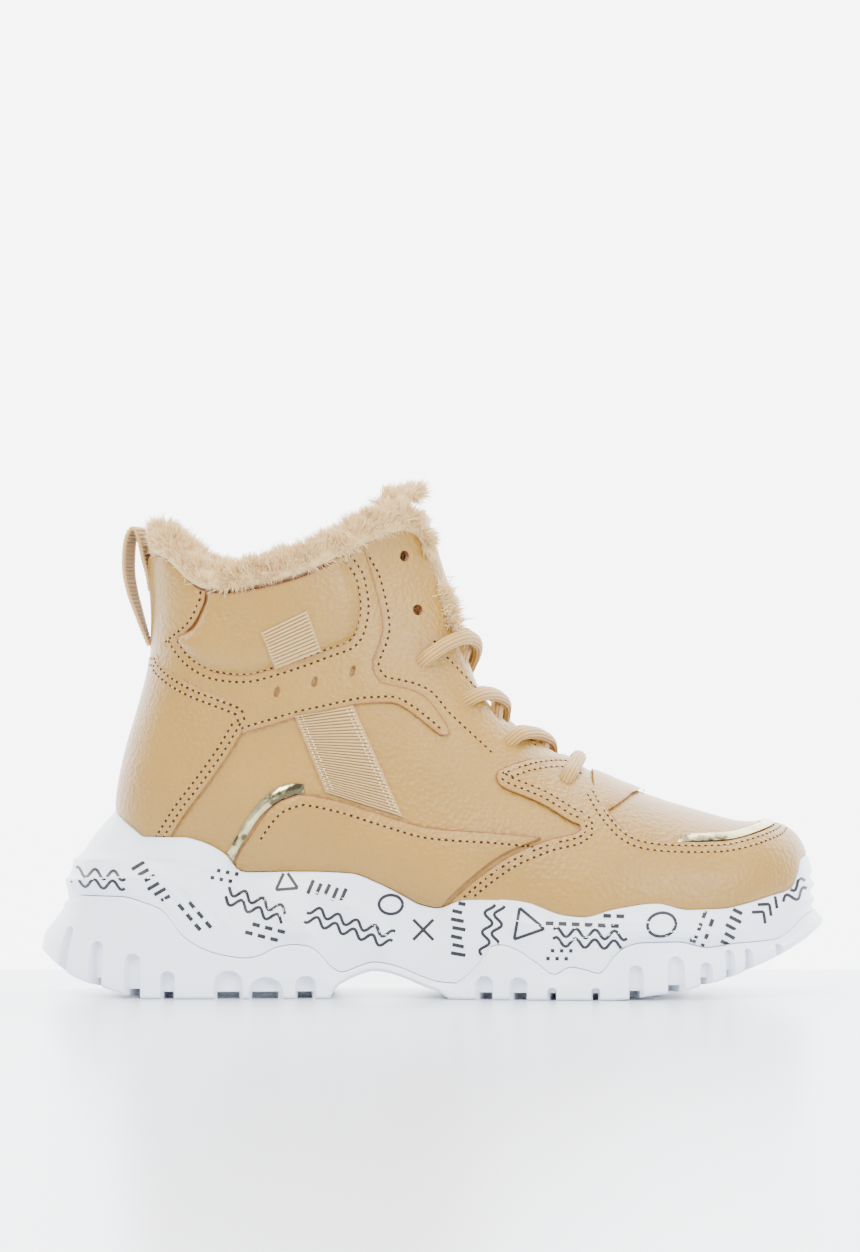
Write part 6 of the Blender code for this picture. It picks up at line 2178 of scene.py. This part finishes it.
def build_tongue_fur():
    under = WALL + SEAT + TONGUE + SEAT
    base, grid = patch_mesh("tongue_pile_backing", ring_share(1.52), 0.935, 2 / 12, -under,
                            -under - TONGUE_PILE, "high", 60, 30)
    base.data.materials.append(finish_of("shaded_pile_base"))
    put_in_frame(base, "fur", "tongue_fur")
    rng = np.random.default_rng(5)
    roots, ways = [], []
    rows, columns = grid.shape[1:3]
    number = strand_count(TONGUE_STRANDS)
    out_way = np.array([0.75, 0.0, 0.66])
    for _ in range(number):
        pick = rng.uniform()
        if pick < 0.34:
            i, k = rows - 1, rng.uniform(0, columns - 1.001)
            layer = rng.uniform(-0.7, 1)
            way = np.array([0.75, 0.0, 0.85])
        elif pick < 0.62:
            i, layer = rng.uniform(0, rows - 1.001), rng.uniform(0, 0.5)
            k = rng.choice([0.0, columns - 1.001])
            flank = grid[0, int(i), int(k)][1] - grid[0, int(i), columns // 2][1]
            way = np.array([0.85, math.copysign(0.8, flank), 0.10])
        else:
            i, k = rng.uniform(0, rows - 1.001), rng.uniform(0, columns - 1.001)
            layer = 1.0
            way = -out_way
        a, b = int(i), int(k)
        spot = grid[0, a, b] * (1 - layer) + grid[1, a, b] * layer
        after = grid[0, a, min(b + 1, columns - 1)] * (1 - layer) + grid[1, a, min(b + 1, columns - 1)] * layer
        above = grid[0, min(a + 1, rows - 1), b] * (1 - layer) + grid[1, min(a + 1, rows - 1), b] * layer
        spot = spot + (after - spot) * (k - b) + (above - spot) * (i - a)
        roots.append(spot)
        ways.append(way / np.linalg.norm(way))
    for _ in range(number // 4):
        t = rng.uniform(0, 1)
        side = rng.choice([-1.0, 1.0])
        x = np.interp(t, [0, 0.5, 1], [0.5256, 0.5334, 0.542])
        z = np.interp(t, [0, 0.5, 1], [1.658, 1.583, 1.500])
        spot = np.array([float(along(x)) - 0.0045, SHIFT + side * 0.0115, float(level(z))])
        roots.append(spot + rng.normal(0, 0.0012, 3))
        way = np.array([0.75, side * 0.45, 0.25 + 0.4 * rng.uniform(-1, 1)])
        ways.append(way / np.linalg.norm(way))
    lengths = np.full(len(roots), trimmings().strand_length)
    pile = hairs("tongue_pile", np.array(roots), np.array(ways), lengths, STRAND_WIDTH, (0.15, 0.35),
                 finish_of("pile"), rng)
    put_in_frame(pile, "fur")


def build_laces():
    tree = form_tree()
    lace = finish_of("lace")
    sizes = trimmings()
    profile, ribs = ribbed_oval(sizes.lace_width, sizes.lace_thickness)
    for k, dive in enumerate((0.84, 0.84, 0.78)):
        start, finish = EYELETS[k + 2], EYELETS[k + 3]
        under = lace_line(tree, start, finish, 1, 0.0, dive - 0.16)
        over = lace_line(tree, start, finish, -1, sizes.lace_thickness * 0.35, dive)
        made = joined(f"lace_cross_{k + 1}_looks", [
            sweep("lace", under[0], under[1], profile, lace, ribs),
            sweep("lace", over[0], over[1], profile, lace, ribs)])
        put_in_frame(made, "lace", f"lace_cross_{k + 1}")
    bar = lace_line(tree, EYELETS[5], EYELETS[5], -1, sizes.lace_thickness * 0.55, 1.05)
    made = sweep("lace_bar_looks", *bar, profile, lace, ribs)
    put_in_frame(made, "lace", "lace_bar")


def build_loop():
    line = spline(flat_points(LOOP_LINE), 14)
    way = np.gradient(line, axis=0)
    way /= np.linalg.norm(way, axis=1, keepdims=True)
    length = np.concatenate([[0], np.cumsum(np.linalg.norm(np.diff(line, axis=0), axis=1))])
    points, faces, ribs = [], [], []
    across = 14
    for (x, z), (dx, dz), run in zip(line, way, length):
        ox, oz = -dz, dx
        rib = 0.5 + 0.5 * math.cos(run * 2 * math.pi / 0.0015)
        twist = LOOP_TWIST * math.sin(math.pi * np.clip(run / length[-1], 0, 1))
        for sign in (1, -1):
            for k in range(across + 1):
                y = (k / across - 0.5) * sign
                rim = 1 - max(0.0, abs(y) * 2 - 0.88) * 5
                rise = (LOOP_THICKNESS * 0.42 * rim + 0.0003 * rib * rim) * sign
                points.append((x + ox * rise + y * LOOP_WIDTH * twist, y * LOOP_WIDTH + SHIFT, z + oz * rise))
                ribs.append(rib if rim > 0.8 else 0.9)
    size = 2 * (across + 1)
    for r in range(len(line) - 1):
        for k in range(size):
            n = (k + 1) % size
            faces.append((r * size + k, r * size + n, (r + 1) * size + n, (r + 1) * size + k))
    faces.append(list(range(size)))
    faces.append([(len(line) - 1) * size + k for k in reversed(range(size))])
    loop = mesh_object("pull_loop_looks", points, faces)
    give_ribs(loop, ribs)
    outward(loop)
    loop.data.materials.append(finish_of("webbing"))
    put_in_frame(loop, "webbing", "pull_loop")


def build_stitches():
    tree = sewn_tree()
    outlines = {"HEEL_COUNTER": HEEL_COUNTER, "STRAP_RUN": STRAP_RUN, "PAD_PANEL": PAD_PANEL,
                "HEEL_PANEL": HEEL_PANEL, "EYESTAY_RUN": EYESTAY_RUN, "FOXING": FOXING,
                "VAMP_GUARD": VAMP_GUARD}
    lines = [spline(flat_points(line), 8) for line in THROAT_SEAMS]
    spots, ways, outs = [], [], []
    for name, first, last, insets in SEAMS:
        lines += [inset_run(outlines[name], first, last, inset) for inset in insets]
    for line in lines:
        for side in (-1, 1):
            for run in project_run(line, tree, side, CACHE["sole"]):
                centre, way, out = stitch_points(run, trimmings().stitch_pitch)
                spots.append(centre)
                ways.append(way)
                outs.append(out)
    spots, ways, outs = np.vstack(spots), np.vstack(ways), np.vstack(outs)
    count = len(spots)
    size = np.tile([STITCH_LENGTH, STITCH_WIDTH, STITCH_WIDTH], (count, 1))
    threads = scatter("stitches", spots + outs * 0.00002, ways, outs, size, grain_unit("stitch"),
                      finish_of("thread"))
    # the needle holes are dark blobs on the surface: painted shade of the pits at the stitch ends
    hole_size = np.tile([0.00150, 0.00088, 0.00046], (count, 1))
    ends = spots + ways * trimmings().stitch_pitch / 2
    holes = scatter("needle_holes", ends, ways, outs, hole_size, grain_unit("hole", 4, 6),
                    finish_of("hole"))
    put_in_frame(threads, None)
    put_in_frame(holes, None)
    spots, ways, outs = [], [], []
    for side, strap in CACHE["straps"]:
        a, b, c, d = flat_points(SIDE_TAB)
        for inset in (0.05, 0.12, 0.88, 0.95):
            line = np.array([a + (b - a) * inset, d + (c - d) * inset])
            line = line[0] + (line[1] - line[0]) * np.linspace(0.02, 0.98, 12)[:, None]
            for run in project_run(line, strap, side):
                centre, way, out = stitch_points(run, 0.0022)
                spots.append(centre + out * 0.0001)
                ways.append(way)
                outs.append(out)
    spots, ways, outs = np.vstack(spots), np.vstack(ways), np.vstack(outs)
    size = np.tile([0.0011, 0.0004, 0.0004], (len(spots), 1))
    dots = scatter("strap_stitches", spots, ways, outs, size, grain_unit("stitch"),
                   finish_of("white_thread"))
    put_in_frame(dots, None)


def add_area(name, spot, aim, size, power, colour="#FFFFFF"):
    light = bpy.data.lights.new(name, "AREA")
    light.shape = "RECTANGLE"
    light.size, light.size_y = size
    light.energy = power
    light.color = linear(colour)[:3]
    thing = bpy.data.objects.new(name, light)
    thing.location = spot
    thing.rotation_euler = (Vector(aim) - Vector(spot)).to_track_quat("-Z", "Y").to_euler()
    bpy.context.scene.collection.objects.link(thing)
    return thing


def build_stage():
    floor = mesh_object("table_top", [(-2.5, -1.7, 0), (2.5, -1.7, 0), (2.5, TABLE_BACK, 0),
                                      (-2.5, TABLE_BACK, 0)], [(0, 1, 2, 3)], smooth=False)
    floor.data.materials.append(finish_of("floor"))
    wall = mesh_object("backdrop", [(-4, 1.1, -1.5), (4, 1.1, -1.5), (4, 1.1, 3.5), (-4, 1.1, 3.5)],
                       [(0, 1, 2, 3)], smooth=False)
    wall.data.materials.append(finish_of("backdrop"))
    world = bpy.data.worlds.new("studio")
    world.use_nodes = True
    back = world.node_tree.nodes.get("Background")
    back.inputs["Color"].default_value = linear("#E8F0FF")
    back.inputs["Strength"].default_value = 1.35
    bpy.context.scene.world = world
    power = chosen().light
    lights = [
        add_area("key", (-0.70, -1.35, 1.30), (0, 0, 0.08), (0.8, 0.8), 42 * power, "#FFFBF4"),
        add_area("fill", (1.1, -1.3, 0.70), (0.03, 0, 0.08), (0.9, 0.9), 30 * power, "#F4F7FF"),
        add_area("overhead", (0.1, 0.0, 1.5), (0, 0, 0.05), (1.2, 0.9), 26 * power),
    ]
    camera = bpy.data.cameras.new("camera")
    camera.sensor_fit = "VERTICAL"
    camera.sensor_height = 36
    camera.sensor_width = 36
    camera.lens = 191.7
    camera.clip_end = 20
    seer = bpy.data.objects.new("camera", camera)
    seer.location = (-0.001, -2.4, 0.132)
    seer.rotation_euler = (math.pi / 2, 0, 0)
    bpy.context.scene.collection.objects.link(seer)
    bpy.context.scene.camera = seer


# Add-on


class BootTrimmings(bpy.types.PropertyGroup):
    """Sizes of the parts that repeat."""

    stitch_pitch: bpy.props.FloatProperty(
        name="Stitch pitch", description="Distance from one stitch to the next",
        default=STITCH_PITCH, min=0.0015, max=0.006, precision=4, unit="LENGTH")
    strand_length: bpy.props.FloatProperty(
        name="Pile length", description="Length of the pile's strands",
        default=STRAND_LENGTH, min=0.002, max=0.015, precision=4, unit="LENGTH")
    pile_share: bpy.props.FloatProperty(
        name="Pile density", description="Share of the pile's strands that are made",
        default=1.0, min=0.05, max=1.0, subtype="FACTOR")
    lace_width: bpy.props.FloatProperty(
        name="Lace width", description="Width of the oval lace",
        default=LACE_WIDTH, min=0.002, max=0.010, precision=4, unit="LENGTH")
    lace_thickness: bpy.props.FloatProperty(
        name="Lace thickness", description="Thickness of the oval lace",
        default=LACE_THICKNESS, min=0.001, max=0.008, precision=4, unit="LENGTH")


class BootColours(bpy.types.PropertyGroup):
    """Colours of the boot's finishes, and how strong the studio lights are."""

    leather: bpy.props.FloatVectorProperty(
        name="Leather", description="Colour of the pebbled leather", size=4,
        default=linear("#9C7529"), min=0, max=1, subtype="COLOR")
    edge: bpy.props.FloatVectorProperty(
        name="Cut edge", description="Colour of the inked edges of the leather", size=4,
        default=linear("#8A5226"), min=0, max=1, subtype="COLOR")
    rubber: bpy.props.FloatVectorProperty(
        name="Rubber", description="Colour of the moulded sole", size=4,
        default=linear("#F0F3F9"), min=0, max=1, subtype="COLOR")
    pile: bpy.props.FloatVectorProperty(
        name="Pile", description="Colour of the pile lining", size=4,
        default=linear("#E6C587"), min=0, max=1, subtype="COLOR")
    webbing: bpy.props.FloatVectorProperty(
        name="Webbing", description="Colour of the ribbed tape", size=4,
        default=linear("#B8945A"), min=0, max=1, subtype="COLOR")
    lace: bpy.props.FloatVectorProperty(
        name="Lace", description="Colour of the laces", size=4,
        default=linear("#AE853F"), min=0, max=1, subtype="COLOR")
    gold: bpy.props.FloatVectorProperty(
        name="Gold foil", description="Colour of the metallic trims", size=4,
        default=linear("#CFC08E"), min=0, max=1, subtype="COLOR")
    light: bpy.props.FloatProperty(
        name="Light", description="Strength of the studio lights",
        default=1.0, min=0.0, max=5.0, subtype="FACTOR")


def trimmings():
    return bpy.context.scene.boot_trimmings


def chosen():
    return bpy.context.scene.boot_colours


def strand_count(full):
    return int(full * trimmings().pile_share * (1.0))


class BOOT_OT_sole(bpy.types.Operator):
    """Build the outsole with its lugs and the moulded midsole"""
    bl_idname = "boot.sole"
    bl_label = "Sole"

    def execute(self, context):
        build_sole()
        return {"FINISHED"}


class BOOT_OT_print(bpy.types.Operator):
    """Print the marks on the sides of the sole"""
    bl_idname = "boot.print"
    bl_label = "Sole print"

    def execute(self, context):
        build_marks()
        return {"FINISHED"}


class BOOT_OT_upper(bpy.types.Operator):
    """Build the lasted leather upper"""
    bl_idname = "boot.upper"
    bl_label = "Upper"

    def execute(self, context):
        build_upper()
        return {"FINISHED"}


class BOOT_OT_overlays(bpy.types.Operator):
    """Build the leather overlays: counter, guard, eyestay, straps and foxing"""
    bl_idname = "boot.overlays"
    bl_label = "Leather overlays"

    def execute(self, context):
        build_overlays()
        return {"FINISHED"}


class BOOT_OT_pads(bpy.types.Operator):
    """Build the padded collar panels"""
    bl_idname = "boot.pads"
    bl_label = "Collar pads"

    def execute(self, context):
        build_pads()
        return {"FINISHED"}


class BOOT_OT_trims(bpy.types.Operator):
    """Build the gold foil strips"""
    bl_idname = "boot.trims"
    bl_label = "Gold trims"

    def execute(self, context):
        build_trims()
        return {"FINISHED"}


class BOOT_OT_beads(bpy.types.Operator):
    """Ink the cut edges of the leather"""
    bl_idname = "boot.beads"
    bl_label = "Inked edges"

    def execute(self, context):
        build_beads()
        return {"FINISHED"}


class BOOT_OT_webbing(bpy.types.Operator):
    """Lay the ribbed tapes on both sides"""
    bl_idname = "boot.webbing"
    bl_label = "Webbing"

    def execute(self, context):
        build_webbing()
        return {"FINISHED"}


class BOOT_OT_tongue(bpy.types.Operator):
    """Build the tongue"""
    bl_idname = "boot.tongue"
    bl_label = "Tongue"

    def execute(self, context):
        build_tongue()
        return {"FINISHED"}


class BOOT_OT_insole(bpy.types.Operator):
    """Build the insole"""
    bl_idname = "boot.insole"
    bl_label = "Insole"

    def execute(self, context):
        build_insole()
        return {"FINISHED"}


class BOOT_OT_pile(bpy.types.Operator):
    """Grow the pile of the collar and the tongue"""
    bl_idname = "boot.pile"
    bl_label = "Pile"

    def execute(self, context):
        build_tongue_fur()
        build_collar_fur()
        return {"FINISHED"}


class BOOT_OT_laces(bpy.types.Operator):
    """Lace the boot"""
    bl_idname = "boot.laces"
    bl_label = "Laces"

    def execute(self, context):
        build_laces()
        return {"FINISHED"}


class BOOT_OT_loop(bpy.types.Operator):
    """Sew the pull loop to the heel"""
    bl_idname = "boot.loop"
    bl_label = "Pull loop"

    def execute(self, context):
        build_loop()
        return {"FINISHED"}


class BOOT_OT_stitches(bpy.types.Operator):
    """Sew the seams"""
    bl_idname = "boot.stitches"
    bl_label = "Stitches"

    def execute(self, context):
        build_stitches()
        return {"FINISHED"}


class BOOT_OT_stage(bpy.types.Operator):
    """Set the table, the backdrop, the lights and the camera"""
    bl_idname = "boot.stage"
    bl_label = "Stage"

    def execute(self, context):
        build_stage()
        return {"FINISHED"}


OPERATORS = (
    BOOT_OT_sole, BOOT_OT_print, BOOT_OT_upper, BOOT_OT_overlays, BOOT_OT_pads, BOOT_OT_trims,
    BOOT_OT_beads, BOOT_OT_webbing, BOOT_OT_tongue, BOOT_OT_insole, BOOT_OT_pile, BOOT_OT_laces,
    BOOT_OT_loop, BOOT_OT_stitches, BOOT_OT_stage,
)


class BOOT_PT_looks(bpy.types.Panel):
    """Sizes, colours and steps of the boot's looks"""
    bl_idname = "BOOT_PT_looks"
    bl_label = "Hiking boot looks"
    bl_space_type = "VIEW_3D"
    bl_region_type = "UI"
    bl_category = "Boot"

    def draw(self, context):
        layout = self.layout
        for group in (context.scene.boot_trimmings, context.scene.boot_colours):
            column = layout.column(align=True)
            for name in group.__annotations__:
                column.prop(group, name)
        column = layout.column(align=True)
        for operator in OPERATORS:
            column.operator(operator.bl_idname)


CLASSES = (BootTrimmings, BootColours, *OPERATORS, BOOT_PT_looks)


def register():
    for item in CLASSES:
        bpy.utils.register_class(item)
    bpy.types.Scene.boot_trimmings = bpy.props.PointerProperty(type=BootTrimmings)
    bpy.types.Scene.boot_colours = bpy.props.PointerProperty(type=BootColours)


def unregister():
    del bpy.types.Scene.boot_colours
    del bpy.types.Scene.boot_trimmings
    for item in reversed(CLASSES):
        bpy.utils.unregister_class(item)


def main():
    register()
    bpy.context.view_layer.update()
    for operator in OPERATORS:
        step = getattr(bpy.ops.boot, operator.bl_idname.split(".")[1])
        step()


if __name__ == "__main__":
    main()
